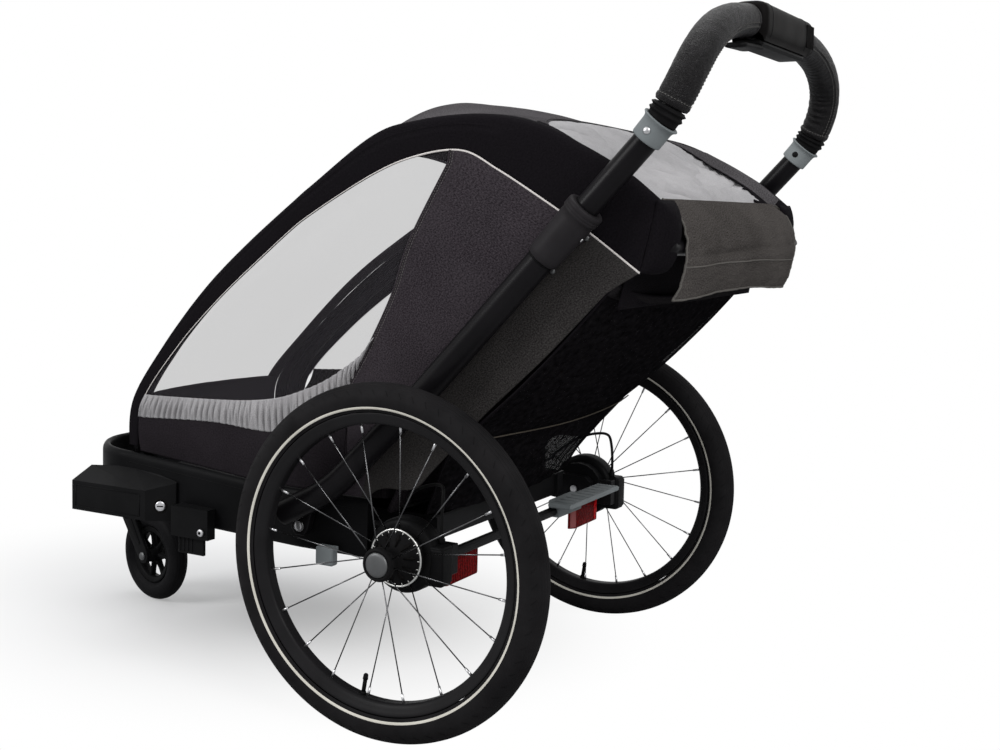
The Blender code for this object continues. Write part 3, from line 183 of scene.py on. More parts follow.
def paint(name, dark, light, rough, metal, peel=220.0, depth=0.00005):
    s = Shader(name, dark, rough, metal, spec=0.05)
    s.colour(s.noise(6.0, 3.0), 0.3, dark, 0.7, light)
    s.rough(s.noise(38.0, 6.0, 0.7), rough - 0.05, rough + 0.08)
    s.bump(s.noise(peel, 2.0), 0.35, depth)
    return s.m


def metal(name, dark, light, rough, brush=(40.0, 900.0, 900.0)):
    s = Shader(name, dark, rough, 1.0)
    s.colour(s.noise(30.0, 4.0), 0.3, dark, 0.75, light)
    s.rough(s.noise(1.0, 4.0, stretch=brush), rough - 0.08, rough + 0.12)
    s.bump(s.noise(1.0, 3.0, stretch=brush), 0.25, 0.00004)
    return s.m


def woven(name, dark, light, pitch=0.0011, speckle=0.0021, slub=0.22, bump=0.9, sheen=0.0, twill=False):
    """Woven melange cloth; its UV map is in metres."""
    rough = 0.86
    s = Shader(name, dark, rough, spec=0.0)
    warp = s.wave(0.5 / pitch, "DIAGONAL" if twill else "X", distort=0.6, dscale=3.0)
    weft = s.wave(0.5 / pitch, "Y", distort=0.6, dscale=3.0)
    grid = s.math("MULTIPLY", warp, weft)
    melange = s.noise(1.0 / speckle, 4.0, 0.75, use="UV")
    broad = s.noise(5.0, 4.0, 0.6, use="UV")
    f = s.math("ADD", s.math("MULTIPLY", melange, 1.0 - slub), s.math("MULTIPLY", broad, slub))
    base = s.ramp(f, [(0.40, dark), (0.60, light)])
    thread = (*(c * 1.7 for c in light), 1.0)
    raised = s.math("MULTIPLY", grid, 0.30)
    s.set("Base Color", s.node("ShaderNodeMix", {0: raised, 6: base, 7: thread}, data_type="RGBA").outputs[2])
    s.set("Sheen Weight", sheen)
    s.rough(melange, rough - 0.06, rough + 0.08)
    n = s.bump(grid, bump * 0.5, 0.00035)
    s.bump(s.noise(60.0, 4.0, use="UV"), 0.35, 0.0009, n)
    return s.m


def knit(name, dark, light):
    """Stretch knit with a fine rib and soft folds."""
    s = Shader(name, dark, 0.82, spec=0.012)
    s.colour(s.noise(420.0, 4.0, 0.7, use="UV"), 0.32, dark, 0.7, light)
    s.rough(s.noise(12.0, 3.0, use="UV"), 0.74, 0.90)
    n = s.bump(s.math("MULTIPLY", s.wave(700.0, "X"), s.wave(520.0, "Y")), 0.4, 0.0003)
    s.bump(s.noise(26.0, 5.0, use="UV", stretch=(1.0, 2.4, 1.0)), 0.5, 0.0016, n)
    return s.m


def film(name, tint, alpha):
    """Clear soft film with faint waves."""
    s = Shader(name, tint, 0.12, spec=0.10)
    s.colour(s.noise(3.0, 3.0, use="UV"), 0.3, tint, 0.7, tuple(c * 1.3 for c in tint))
    veil = s.noise(7.0, 3.0, use="UV", stretch=(1.0, 0.4, 1.0))
    s.set("Alpha", s.span(veil, alpha - 0.008, alpha + 0.012))
    s.bump(s.noise(14.0, 3.0, use="UV", stretch=(1.0, 0.35, 1.0)), 0.25, 0.003)
    return s.m


def mesh_cloth(name, dark, light, pitch=0.0026, holes=0.05):
    """Knitted mesh whose holes are open; its UV map is in metres."""
    s = Shader(name, dark, 0.85, spec=0.0)
    grid = s.math("MULTIPLY", s.wave(0.5 / pitch, "X"), s.wave(0.5 / pitch, "Y"))
    s.colour(s.noise(90.0, 4.0, 0.7, use="UV"), 0.3, dark, 0.7, light)
    s.set("Alpha", s.span(grid, 1.0, 0.05, From_Min=1.0 - holes - 0.12, From_Max=1.0 - holes + 0.12))
    n = s.bump(grid, 0.5, 0.0004)
    s.bump(s.noise(18.0, 4.0, use="UV", stretch=(1.0, 2.0, 1.0)), 0.4, 0.0015, n)
    return s.m


def leather(name, dark, light):
    s = Shader(name, dark, 0.40, spec=0.10)
    s.colour(s.noise(40.0, 4.0, use="UV"), 0.3, dark, 0.75, light)
    s.rough(s.noise(120.0, 4.0, use="UV"), 0.32, 0.55)
    n = s.bump(s.voronoi(430.0, "UV", "DISTANCE_TO_EDGE"), 1.0, 0.0016)
    s.bump(s.noise(900.0, 3.0, use="UV"), 0.25, 0.0003, n)
    return s.m


def rubber(name, dark, light, rough):
    s = Shader(name, dark, rough, spec=0.022)
    s.colour(s.noise(14.0, 5.0, 0.65), 0.3, dark, 0.72, light)
    s.rough(s.noise(60.0, 4.0), rough - 0.08, rough + 0.12)
    s.bump(s.noise(420.0, 3.0), 0.4, 0.0002)
    return s.m


def reflector(name, gain):
    """Red lens with small prisms in bands."""
    s = Shader(name, (0.30, 0.006, 0.010), 0.30, spec=0.01)
    cells = s.voronoi(330.0)
    bands = s.wave(60.0, "X", use="Object")
    f = s.math("ADD", s.math("MULTIPLY", cells, 0.7), s.math("MULTIPLY", bands, 0.45))
    stops = [(0.15, (0.016, 0.0003, 0.0006)), (0.45, (0.085, 0.0010, 0.0018)), (0.8, (0.34, 0.008, 0.009))]
    s.set("Base Color", s.ramp(f, [(p, tuple(min(c * gain, 1.0) for c in rgb)) for p, rgb in stops]))
    s.bump(cells, 0.6, 0.0006)
    return s.m


TUBE = paint("tube_black", (0.0034, 0.0031, 0.0036), (0.0060, 0.0055, 0.0063), 0.31, 0.0)
FRAME = paint("frame_black", (0.0035, 0.0035, 0.0038), (0.0072, 0.0072, 0.0078), 0.44, 0.05, 500.0, 0.0001)
PLAST = plastic("plastic_dark", (0.0028, 0.0028, 0.0030), (0.0060, 0.0060, 0.0063), 0.44)
PLAST_CLAMP = plastic("plastic_clamp", (0.0105, 0.0097, 0.0105), (0.0195, 0.0180, 0.0195), 0.42)
PLAST_SOFT = plastic("plastic_rim_band", (0.0018, 0.0018, 0.0020), (0.0038, 0.0038, 0.0042), 0.40, 1400.0)
PLAST_CONSOLE = plastic("plastic_console", (0.0030, 0.0027, 0.0027), (0.0062, 0.0057, 0.0056), 0.44, 1200.0,
                        spec=0.016)
GREY = plastic("plastic_grey", (0.118, 0.130, 0.134), (0.162, 0.176, 0.180), 0.48, 1300.0)
STEEL = metal("steel", (0.38, 0.38, 0.39), (0.52, 0.52, 0.53), 0.34)
ALLOY = metal("alloy_silver", (0.080, 0.082, 0.084), (0.115, 0.117, 0.119), 0.50, (900.0, 60.0, 60.0))
SPOKE = metal("spoke_steel", (0.055, 0.055, 0.058), (0.12, 0.12, 0.123), 0.24)
BRIGHT = metal("ring_bright", (0.42, 0.42, 0.41), (0.58, 0.58, 0.56), 0.36)
RUBBER = rubber("rubber", (0.0032, 0.0032, 0.0035), (0.0075, 0.0072, 0.0075), 0.54)
TYRE = rubber("tyre", (0.0058, 0.0055, 0.0059), (0.0112, 0.0106, 0.0112), 0.58)
CASTER_TYRE = rubber("caster_rubber", (0.0040, 0.0040, 0.0044), (0.0088, 0.0085, 0.0092), 0.50)
STRIPE = rubber("stripe_pale", (0.40, 0.385, 0.34), (0.52, 0.50, 0.45), 0.45)
RIM = plastic("rim_black", (0.0052, 0.0050, 0.0054), (0.0102, 0.0098, 0.0105), 0.38, 1600.0, 0.00005, 0.05)
CABLE = plastic("cable_black", (0.0048, 0.0048, 0.0048), (0.0085, 0.0085, 0.0085), 0.38)
RED = reflector("reflector_red", 0.42)
# brighter copy of the reflector red: a painted highlight on one facet
RED_PAINTED_GLINT = reflector("reflector_red_painted_glint", 1.5)
RED_PALE = plastic("reflector_end", (0.16, 0.045, 0.045), (0.26, 0.090, 0.088), 0.40)
LEATHER = leather("grip_leather", (0.0026, 0.0023, 0.0026), (0.0072, 0.0066, 0.0072))
CHAR = woven("cloth_charcoal", (0.0062, 0.0050, 0.0062), (0.0410, 0.0350, 0.0400))
# darker copy of the charcoal cloth: painted shade for the low panel
CHAR_PAINTED_SHADE = woven("cloth_charcoal_painted_shade", (0.0042, 0.0036, 0.0043), (0.0190, 0.0163, 0.0188))
CHAR_LIGHT = woven("cloth_charcoal_twill", (0.0062, 0.0058, 0.0058), (0.0345, 0.0322, 0.0312), twill=True)
FLAP_CLOTH = woven("cloth_flap", (0.0085, 0.0078, 0.0074), (0.0760, 0.0690, 0.0650), 0.0014)
ROOF_CLOTH = woven("cloth_roof", (0.019, 0.0178, 0.0190), (0.082, 0.0770, 0.0805))
BAND = knit("cloth_black", (0.0030, 0.0026, 0.0032), (0.0078, 0.0068, 0.0082))
# olive knit for the inner face of the gathered strip, darker than its outer face
STRIP_INSIDE = knit("cloth_strip_inside", (0.0050, 0.0052, 0.0030), (0.0110, 0.0110, 0.0058))
LIGHT = woven("cloth_light", (0.235, 0.231, 0.235), (0.315, 0.308, 0.313), 0.0009, 0.0016, 0.5, 0.4)
STRIP = woven("cloth_strip", (0.125, 0.121, 0.125), (0.300, 0.293, 0.298), 0.0008, 0.0014, bump=0.4)
PIPING = woven("piping_light", (0.34, 0.32, 0.31), (0.52, 0.49, 0.47), 0.0012, bump=0.8, sheen=0.1)
BINDING = woven("binding_grey", (0.055, 0.052, 0.048), (0.105, 0.099, 0.092), 0.0012)
THREAD = woven("thread_grey", (0.080, 0.077, 0.073), (0.15, 0.145, 0.137), 0.0004, bump=0.5)
HEM = woven("hem_black", (0.0050, 0.0046, 0.0050), (0.0160, 0.0148, 0.0156), 0.0014)
POCKET = woven("pocket_hem", (0.030, 0.026, 0.021), (0.060, 0.052, 0.043), 0.0012)
MESH = mesh_cloth("cloth_mesh", (0.0012, 0.0011, 0.0013), (0.0082, 0.0076, 0.0084))
FILM = film("film_clear", (0.050, 0.046, 0.052), 0.225)


# Mesh helpers
def unit(v):
    """A number held between 0 and 1."""
    return min(max(v, 0.0), 1.0)


def signed_power(v, p):
    return math.copysign(abs(v) ** p, v)


def pts(p):
    return np.asarray(p, dtype=float)


def normed(v):
    return pts(v) / np.linalg.norm(v)


def run_of(p):
    """Length along a polyline at each of its points."""
    return np.concatenate([[0], np.cumsum(np.linalg.norm(np.diff(pts(p), axis=0), axis=1))])


def at_length(q, run, p):
    return np.array([np.interp(q, run, p[:, k]) for k in range(3)])


def piece(name, verts, faces, mat, body=None, uvs=None, replaces=()):
    """One mesh; cloth and its trim come without a body and are baked in place or ridden in the section on
    cloth.
    """
    mats = mat if isinstance(mat, list) else [mat]
    me = bpy.data.meshes.new(name)
    v = pts(verts).reshape(-1, 3).copy()
    v[:, 1] += AXLE_Y
    me.from_pydata(v.tolist(), [], [tuple(int(i) for i in f) for f in faces])
    me.update()
    if uvs is not None:
        lay = me.uv_layers.new(name="UVMap")
        idx = np.zeros(len(me.loops), dtype=np.int32)
        me.loops.foreach_get("vertex_index", idx)
        lay.data.foreach_set("uv", pts(uvs).reshape(-1, 2)[idx].ravel())
    for m in mats:
        me.materials.append(m)
    me.polygons.foreach_set("use_smooth", [True] * len(me.polygons))
    ob = bpy.data.objects.new(name, me)
    bpy.context.scene.collection.objects.link(ob)
    if body:
        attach(ob, body)
    if replaces:
        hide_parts(*replaces)
    return ob


def grid_faces(n, m, wrap_n=False, wrap_m=False, base=0):
    f = []
    for i in range(n if wrap_n else n - 1):
        for j in range(m if wrap_m else m - 1):
            a, b = (i % n) * m, ((i + 1) % n) * m
            f.append((base + a + j, base + a + (j + 1) % m, base + b + (j + 1) % m, base + b + j))
    return f


def end_faces(n, m):
    """Caps on both ends of n closed rings of m points."""
    return [tuple(reversed(range(m))), tuple(range((n - 1) * m, n * m))]


def metric_uv(g):
    """UV in metres over a grid of points."""
    du, dv = np.zeros(g.shape[:2]), np.zeros(g.shape[:2])
    du[:, 1:] = np.cumsum(np.linalg.norm(np.diff(g, axis=1), axis=2), axis=1)
    dv[1:, :] = np.cumsum(np.linalg.norm(np.diff(g, axis=0), axis=2), axis=0)
    mid = g.shape[1] // 2
    du -= du[:, mid:mid + 1]
    return np.stack([du, dv.mean(axis=1, keepdims=True).repeat(g.shape[1], axis=1)], axis=2).reshape(-1, 2)


CUT = {}


def surface(name, g, mat, thick=0.0, offset=-1.0, flip=False):
    """Cloth over a grid of points, with a thickness; its size laid flat goes into CUT."""
    g = pts(g)
    n, m = g.shape[:2]
    across = np.linalg.norm(np.diff(g, axis=1), axis=2).sum(axis=1)
    along = np.linalg.norm(np.diff(g, axis=0), axis=2).sum(axis=0)
    one = np.cross(g[1:, :-1] - g[:-1, :-1], g[:-1, 1:] - g[:-1, :-1])
    two = np.cross(g[1:, :-1] - g[1:, 1:], g[:-1, 1:] - g[1:, 1:])
    area = (np.linalg.norm(one, axis=2) + np.linalg.norm(two, axis=2)).sum() / 2
    CUT[name] = (float(across.max()), float(along.max()), float(area))
    faces = [tuple(reversed(f)) for f in grid_faces(n, m)] if flip else grid_faces(n, m)
    ob = piece(name, g, faces, mat, None, metric_uv(g))
    if thick:
        s = ob.modifiers.new("thickness", "SOLIDIFY")
        s.thickness, s.offset, s.use_even_offset = thick, offset, False
    return ob


def frames_along(path):
    """Points, tangents and two cross directions that don't twist."""
    p = pts(path)
    t = np.gradient(p, axis=0)
    t /= np.linalg.norm(t, axis=1)[:, None]
    u = np.cross(t[0], [1.0, 0.0, 0.0])
    if np.linalg.norm(u) < 0.3:
        u = np.cross(t[0], [0.0, 1.0, 0.0])
    us, ws = [], []
    for k in range(len(p)):
        u = u - t[k] * u.dot(t[k])
        u /= np.linalg.norm(u)
        us.append(u.copy())
        ws.append(np.cross(t[k], u))
    return p, t, np.array(us), np.array(ws)


def tube(name, path, radii, mat, body=None, sides=32, caps=True, replaces=()):
    """Round tube; radii is one number, one a point, or one a point and side."""
    p, t, us, ws = frames_along(path)
    a = np.linspace(0, 2 * pi, sides, endpoint=False)
    r = pts(radii)
    r = np.full((len(p), sides), r) if r.ndim == 0 else (r[:, None].repeat(sides, 1) if r.ndim == 1 else r)
    g = (p[:, None, :] + (us[:, None, :] * np.cos(a)[None, :, None]
                          + ws[:, None, :] * np.sin(a)[None, :, None])
         * r[:, :, None])
    faces = grid_faces(len(g), sides, False, True) + (end_faces(len(g), sides) if caps else [])
    girth = np.arange(sides) * 2 * pi * float(np.max(radii)) / sides
    uv = np.stack(np.meshgrid(girth, run_of(path)), axis=2)
    return piece(name, g, faces, mat, body, uv, replaces)


def axis_frame(axis):
    d = Vector(axis).normalized()
    u = d.cross(Vector((1, 0, 0)))
    if u.length < 0.3:
        u = d.cross(Vector((0, 1, 0)))
    u.normalize()
    return np.array(d), np.array(u), np.array(d.cross(u))


def lathe_grid(profile, steps, base, axis):
    d, u, w = axis_frame(axis)
    a = np.linspace(0, 2 * pi, steps, endpoint=False)
    pr = pts(profile)
    ring = u[None, :] * np.cos(a)[:, None] + w[None, :] * np.sin(a)[:, None]
    return (pts(base)[None, None, :] + d[None, None, :] * pr[:, 1][:, None, None]
            + ring[None, :, :] * pr[:, 0][:, None, None])


def lathe(name, profile, steps, base, axis, mat, body=None, closed=True, replaces=()):
    """Profile of (radius, height) turned about an axis; an open one starts and ends on the axis."""
    pr = pts(profile)
    uv = np.stack(np.meshgrid(np.arange(steps) * 2 * pi * pr[:, 0].max() / steps, run_of(pr)), axis=2)
    return piece(name, lathe_grid(profile, steps, base, axis), grid_faces(len(pr), steps, closed, True), mat,
                 body, uv, replaces)


def button(name, profile, steps, base, axis, mat, body=None, replaces=()):
    return lathe(name, profile, steps, base, axis, mat, body, False, replaces)


def ring_data(profile, steps, base, axis):
    return lathe_grid(profile, steps, base, axis), grid_faces(len(profile), steps, True, True)


def smooth_at(points, t):
    """Point on the smooth line through the points, counted by their number."""
    n = len(points)
    k = min(max(int(t), 0), n - 2)
    f = t - k
    p = [pts(points[min(max(k + o, 0), n - 1)]) for o in (-1, 0, 1, 2)]
    return 0.5 * (2 * p[1] + (p[2] - p[0]) * f + (2 * p[0] - 5 * p[1] + 4 * p[2] - p[3]) * f * f
                  + (3 * p[1] - p[0] - 3 * p[2] + p[3]) * f ** 3)


def value_at(values, t):
    return float(smooth_at([(v, 0.0) for v in values], t)[0])


def curve_points(points, n):
    return np.array([smooth_at(points, (len(points) - 1) * k / (n - 1)) for k in range(n)])


def even(points, n):
    """Points evenly spaced by length along a polyline."""
    p = pts(points)
    s = run_of(p)
    q = np.linspace(0, s[-1], n)
    return np.stack([np.interp(q, s, p[:, k]) for k in range(p.shape[1])], axis=1)


def round_path(points, n):
    """Evenly spaced points on the smooth line through the corners."""
    return even(curve_points([pts(p) for p in points], 40 * len(points)), n)


def join_meshes(name, parts, mat, body=None, replaces=()):
    """One piece from several (verts, faces) pairs."""
    verts, faces, base = [], [], 0
    for v, f in parts:
        v = pts(v).reshape(-1, 3)
        verts.append(v)
        faces += [tuple(base + i for i in q) for q in f]
        base += len(v)
    return piece(name, np.concatenate(verts), faces, mat, body, None, replaces)


def rod_data(a, b, r, sides=16, r2=None):
    a, b = pts(a), pts(b)
    d, u, w = axis_frame(b - a)
    ang = np.linspace(0, 2 * pi, sides, endpoint=False)
    ring = u[None, :] * np.cos(ang)[:, None] + w[None, :] * np.sin(ang)[:, None]
    faces = [tuple(reversed(range(sides))), tuple(range(sides, 2 * sides))]
    faces += [(k, (k + 1) % sides, sides + (k + 1) % sides, sides + k) for k in range(sides)]
    return np.concatenate([a + ring * r, b + ring * (r if r2 is None else r2)]), faces


def mesh_data(bm):
    bm.verts.index_update()
    data = np.array([v.co for v in bm.verts]), [tuple(v.index for v in f.verts) for f in bm.faces]
    bm.free()
    return data


def box_data(one, two, bevel, segments):
    """Box between two corners with rounded edges."""
    lo, hi = zip(*(sorted(q) for q in zip(one, two)))
    bm = bmesh.new()
    bmesh.ops.create_cube(bm, size=1.0)
    for v in bm.verts:
        v.co = Vector([lo[k] + (v.co[k] + 0.5) * (hi[k] - lo[k]) for k in range(3)])
    bmesh.ops.bevel(bm, geom=bm.edges, offset=bevel, segments=segments, profile=0.6, affect="EDGES")
    return mesh_data(bm)


def prism_data(outline, axis, one, two, bevel, segments):
    """Outline extruded along an axis between two levels, with rounded edges."""
    n = len(outline)
    bm = bmesh.new()
    low, high = [[bm.verts.new({"X": (c, a, b), "Z": (a, b, c)}[axis]) for a, b in outline]
                 for c in sorted((one, two))]
    bm.faces.new(low)
    bm.faces.new(high)
    for k in range(n):
        bm.faces.new((low[k], low[(k + 1) % n], high[(k + 1) % n], high[k]))
    bmesh.ops.recalc_face_normals(bm, faces=bm.faces)
    bmesh.ops.bevel(bm, geom=bm.edges, offset=bevel, segments=segments, profile=0.6, affect="EDGES",
                    clamp_overlap=True)
    return mesh_data(bm)


def face_outward(ob):
    bm = bmesh.new()
    bm.from_mesh(ob.data)
    bmesh.ops.recalc_face_normals(bm, faces=bm.faces)
    bm.to_mesh(ob.data)
    bm.free()
    return ob


def shade_by_angle(ob, degrees):
    ob.data.set_sharp_from_angle(angle=radians(degrees))


def stitches(name, path, normals, pitch, length, width, body=None, rows=((0.0, 0.0),), lift=0.0003):
    """Rows of thread along a line; each row has its distance from the line and its shift along it."""
    p, nr = pts(path), pts(normals)
    s = run_of(p)
    parts = []
    for row, shift in rows:
        for k in range(int(s[-1] / pitch)):
            q = (k + 0.5 + shift) * pitch
            if q > s[-1]:
                continue
            n = normed(at_length(q, s, nr))
            ahead = at_length(min(q + 0.001, s[-1]), s, p) - at_length(max(q - 0.001, 0), s, p)
            t = ahead / (np.linalg.norm(ahead) + 1e-12)
            w = np.cross(n, t)
            c = at_length(q, s, p) + w * row + n * lift
            ring = []
            for f, g in ((-0.5, 0.35), (-0.3, 0.9), (0.0, 1.0), (0.3, 0.9), (0.5, 0.35)):
                for a in np.arange(6) * 2 * pi / 6:
                    ring.append(c + t * (length * f) + (w * cos(a) + n * sin(a)) * (width * 0.5 * g))
            parts.append((np.array(ring), grid_faces(5, 6, False, True) + end_faces(5, 6)))
    return join_meshes(name, parts, THREAD, body)


def wrinkle(p, scale, seed=0.0, stretch=(1.0, 1.0, 1.0)):
    """Smooth noise at each point, about -1 to 1."""
    q = pts(p).reshape(-1, 3) * scale * stretch + np.array([seed, 0, 0])
    return np.array([noise.fractal(Vector(v), 0.6, 2.0, 3) for v in q]).reshape(pts(p).shape[:-1])


def dress(names, mat, bevel=0.0, segments=2, angle=30.0):
    """Finish and soft edge for the nodes whose shape is final in the CAD."""
    for n in names:
        nodes[n].data.materials.clear()
        nodes[n].data.materials.append(mat)
        if bevel:
            b = nodes[n].modifiers.new("edge", "BEVEL")
            b.width, b.segments, b.limit_method, b.angle_limit = bevel, segments, "ANGLE", radians(angle)


# Measured outlines: side view as (y, z), from the nose over the top to the rear
CAB_X, CAB_TAPER, TAPER_Y = 0.300, 0.1657, -0.200
RIM_TOP, NOSE_RISE = 0.318, 0.017
OUTER = [(-0.600, 0.3365), (-0.593, 0.412), (-0.519, 0.505), (-0.417, 0.607), (-0.316, 0.685),
         (-0.200, 0.7625), (-0.085, 0.8405), (-0.010, 0.8615), (0.085, 0.868), (0.170, 0.856),
         (0.245, 0.823), (0.308, 0.787), (0.352, 0.752)]
INNER = [(-0.571, 0.3370), (-0.557, 0.415), (-0.470, 0.512), (-0.376, 0.592), (-0.285, 0.658),
         (-0.190, 0.722), (-0.075, 0.785), (0.000, 0.811), (0.070, 0.817), (0.125, 0.791),
         (0.190, 0.753), (0.255, 0.712), (0.312, 0.670)]
EDGE = INNER[:12] + [(0.331, 0.658)]
REAR_EDGE = [(-0.060, 0.340), (0.000, 0.340), (0.036, 0.374), (0.108, 0.452), (0.200, 0.540),
             (0.286, 0.630)]
STRIP_TOP = [(-0.57, 0.424), (-0.30, 0.441), (-0.18, 0.471), (-0.10, 0.518), (-0.067, 0.553)]
STRIP_LOW = [(-0.57, 0.386), (-0.39, 0.398), (-0.24, 0.399), (-0.14, 0.440), (-0.08, 0.533)]
PANEL_EDGE = [(-0.111, 0.481), (-0.080, 0.533), (-0.038, 0.616), (-0.011, 0.692), (0.049, 0.800)]
CROWN = [0.062, 0.055, 0.050, 0.048, 0.046, 0.050, 0.058, 0.041, 0.012, 0.003, 0.0, 0.0, 0.0]
CROWN_POWER = 2.2
ROOF_EDGE = 0.0485
CLOTH_T = 0.0025
TUBE_X, TUBE_R, LEG_R, LEG_IN = 0.332, 0.019, 0.0167, 0.150
TUBE_FOOT = [(-0.205, 0.2855), (-0.195, 0.291), (-0.166, 0.306), (-0.140, 0.320), (-0.112, 0.3400),
             (-0.088, 0.362), (-0.060, 0.390)]
AXLE_Z = 0.250


def cab(y):
    """Half the cabin's width."""
    return CAB_X - np.maximum(0.0, TAPER_Y - pts(y)) * CAB_TAPER


def rim_out(y):
    return cab(y) + 0.002 + 0.018 * unit((TAPER_Y - y) / 0.4)


def rim_top(y):
    return RIM_TOP + NOSE_RISE * unit((-0.3 - y) / 0.4)


def on_side(yz, s, out=0.0):
    """Points of the side view placed on the cabin's side."""
    yz = pts(yz)
    return np.stack([s * (cab(yz[..., 0]) + CLOTH_T / 2 + out), yz[..., 0], yz[..., 1]], axis=-1)


def ruled(a, b, m):
    f = np.linspace(0, 1, m)[None, :, None]
    return a[:, None, :] * (1 - f) + b[:, None, :] * f


def coons(low, top, left, right):
    """Patch between four side curves: low and top run along u, left and right along v."""
    u = np.linspace(0, 1, len(low))[:, None, None]
    v = np.linspace(0, 1, len(left))[None, :, None]
    g = (1 - v) * low[:, None, :] + v * top[:, None, :] + (1 - u) * left[None, :, :] + u * right[None, :, :]
    return g - ((1 - u) * (1 - v) * low[0] + u * v * top[-1] + u * (1 - v) * low[-1] + (1 - u) * v * top[0])


def waves(n):
    """Half a sine over n steps."""
    return np.sin(np.linspace(0, pi, n))


def mirror(s):
    return np.array([s, 1, 1])


# Side covers
def bend(ob):
    """Bake a piece's placement into its mesh; it is joined to no body."""
    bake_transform(ob)


def inner_between(t0, t1, n):
    return even([smooth_at(EDGE, t) for t in np.linspace(t0, t1, 60)], n)


def line_from(first, line, n):
    """The line behind a first point, evenly spaced."""
    return even([first] + [p for p in curve_points(line, 60) if p[0] > first[0] + 0.012], n)


FRONT_T, TOP_T, SPLIT_T = 1.12, 7.72, 11.15
LOW_END = -0.115
panel_line = even(curve_points(PANEL_EDGE, 60), 80)
panel_top = smooth_at(INNER, TOP_T)
low_start = smooth_at(INNER, FRONT_T - 0.42)
low_corner = (LOW_END, rim_top(LOW_END) + 0.0008)
for side, s in SIDES:
    top = inner_between(FRONT_T, TOP_T, 140)
    strip_top = line_from(top[0], STRIP_TOP, 90)
    above = [p for p in panel_line if p[1] > strip_top[-1][1] + 0.002]
    low = np.concatenate([strip_top, even([strip_top[-1]] + above + [panel_top], 51)[1:]])
    steps = np.linspace(0, 1, 140), np.linspace(0, 1, len(low))
    low = np.stack([np.interp(*steps, low[:, k]) for k in (0, 1)], 1)
    g = on_side(ruled(low, top, 24), s, -0.0012)
    g[..., 0] += s * 0.0010 * waves(140)[:, None] * waves(24)[None, :]
    surface("window_" + side, g, FILM, flip=(s < 0))

    # gathered strip under the window
    n = 520
    g = on_side(ruled(line_from(top[0], STRIP_TOP, n), line_from(low_start, STRIP_LOW, n), 22), s, 0.0008)
    v = np.linspace(0, 1, 22)[None, :]
    uneven = np.array([noise.noise(Vector((k * 0.09, 3.1 + s, 0))) for k in range(n)])
    phase = np.cumsum(0.75 + 0.55 * uneven)[:, None]
    fade = 0.35 + 0.65 * np.sin(pi * np.clip(v * 0.92 + 0.04, 0, 1))
    fold = np.sin(phase * 0.62 + 1.3 * v + 0.7 * np.sin(phase * 0.11))
    fine = np.sin(phase * 1.31 + 2.0 - 0.8 * v)
    g[..., 0] += s * (0.0030 * np.sin(pi * v) + 0.0024 * fold * fade + 0.0011 * fine * fade)
    # the strip's inner face takes the dark olive knit, its outer face the pale cloth
    strip = surface("strip_" + side, g, [STRIP_INSIDE, STRIP], thick=0.0010, flip=(s > 0))
    strip.modifiers["thickness"].material_offset = 1
    strip.modifiers["thickness"].material_offset_rim = 1

    # dark panel under the strip; its cloth is a darker copy of the charcoal, painted shade
    n = 160
    hem = np.array([(y, rim_top(y) + 0.0008) for y in np.linspace(-0.562, LOW_END, n)])
    upper = even([low_start] + [p for p in curve_points(STRIP_LOW, 60) if -0.545 < p[0] < -0.140]
                 + [(-0.111, 0.481)], n)
    g = on_side(ruled(hem, upper, 26), s)
    v = np.linspace(0, 1, 26)[None, :]
    g[..., 0] += s * (0.0030 * np.sin(pi * v) + 0.0012 * wrinkle(g, 9.0, 4.0 * s) * np.sin(pi * v) ** 0.5)
    surface("low_panel_" + side, g, CHAR_PAINTED_SHADE, thick=0.0012, flip=(s < 0))

    # dark side panel behind the window, and a lighter twill behind the push tube
    left = even([low_corner, (-0.1125, 0.40), (-0.111, 0.481)] + list(panel_line[4:]) + [panel_top], 150)
    split = even([(-0.086, RIM_TOP + 0.0008), (-0.070, 0.382), (0.0, 0.457), (0.1, 0.563), (0.19, 0.659),
                  smooth_at(EDGE, SPLIT_T)], 150)
    rear = even(list(curve_points(REAR_EDGE, 60)) + [(0.3044, 0.642), EDGE[12]], 150)
    for name, cloth, la, lb, ta, tb, foot, n in (
            ("side_panel_", CHAR, left, split, TOP_T, SPLIT_T, [low_corner, split[0]], 80),
            ("rear_panel_", CHAR_LIGHT, split, rear, SPLIT_T, 12.0,
             [split[0], (-0.075, RIM_TOP + 0.0008), (-0.060, 0.340)], 50)):
        g = on_side(coons(even(foot, n), inner_between(ta, tb, n), la, lb), s, 0.0002)
        shape = (np.sin(pi * np.linspace(0, 1, n)[:, None])
                 * np.sin(pi * np.linspace(0, 1, 150)[None, :])) ** 0.5
        g[..., 0] += s * (0.0022 * shape + 0.0014 * wrinkle(g, 6.5, 9.0 + s, (1.0, 1.0, 0.55)) * shape)
        surface(name + side, g, cloth, thick=0.0012, flip=(s < 0))
    for k, (y, z) in enumerate(((0.2573, 0.7015), (0.2100, 0.6569))):
        bend(button("panel_rivet_%s_%d" % (side, k),
                    [(0.0, 0.0028), (0.0022, 0.0026), (0.0036, 0.0016), (0.0042, 0.0002), (0.0042, -0.0014),
                     (0.0, -0.0014)], 32, (s * 0.3035, y, z), (s, 0, 0), ALLOY))
    hem_line = on_side(left[30:], s, 0.0022)
    tube("panel_hem_" + side, hem_line, 0.0016, CHAR, sides=10)
    stitches("hem_stitch_" + side, on_side(left[30:] + np.array([0.006, 0.0]), s, 0.0022),
             np.tile([s, 0, 0], (len(hem_line), 1)), 0.0042, 0.0026, 0.0008, rows=((0.0, 0.0), (0.0035, 0.5)))

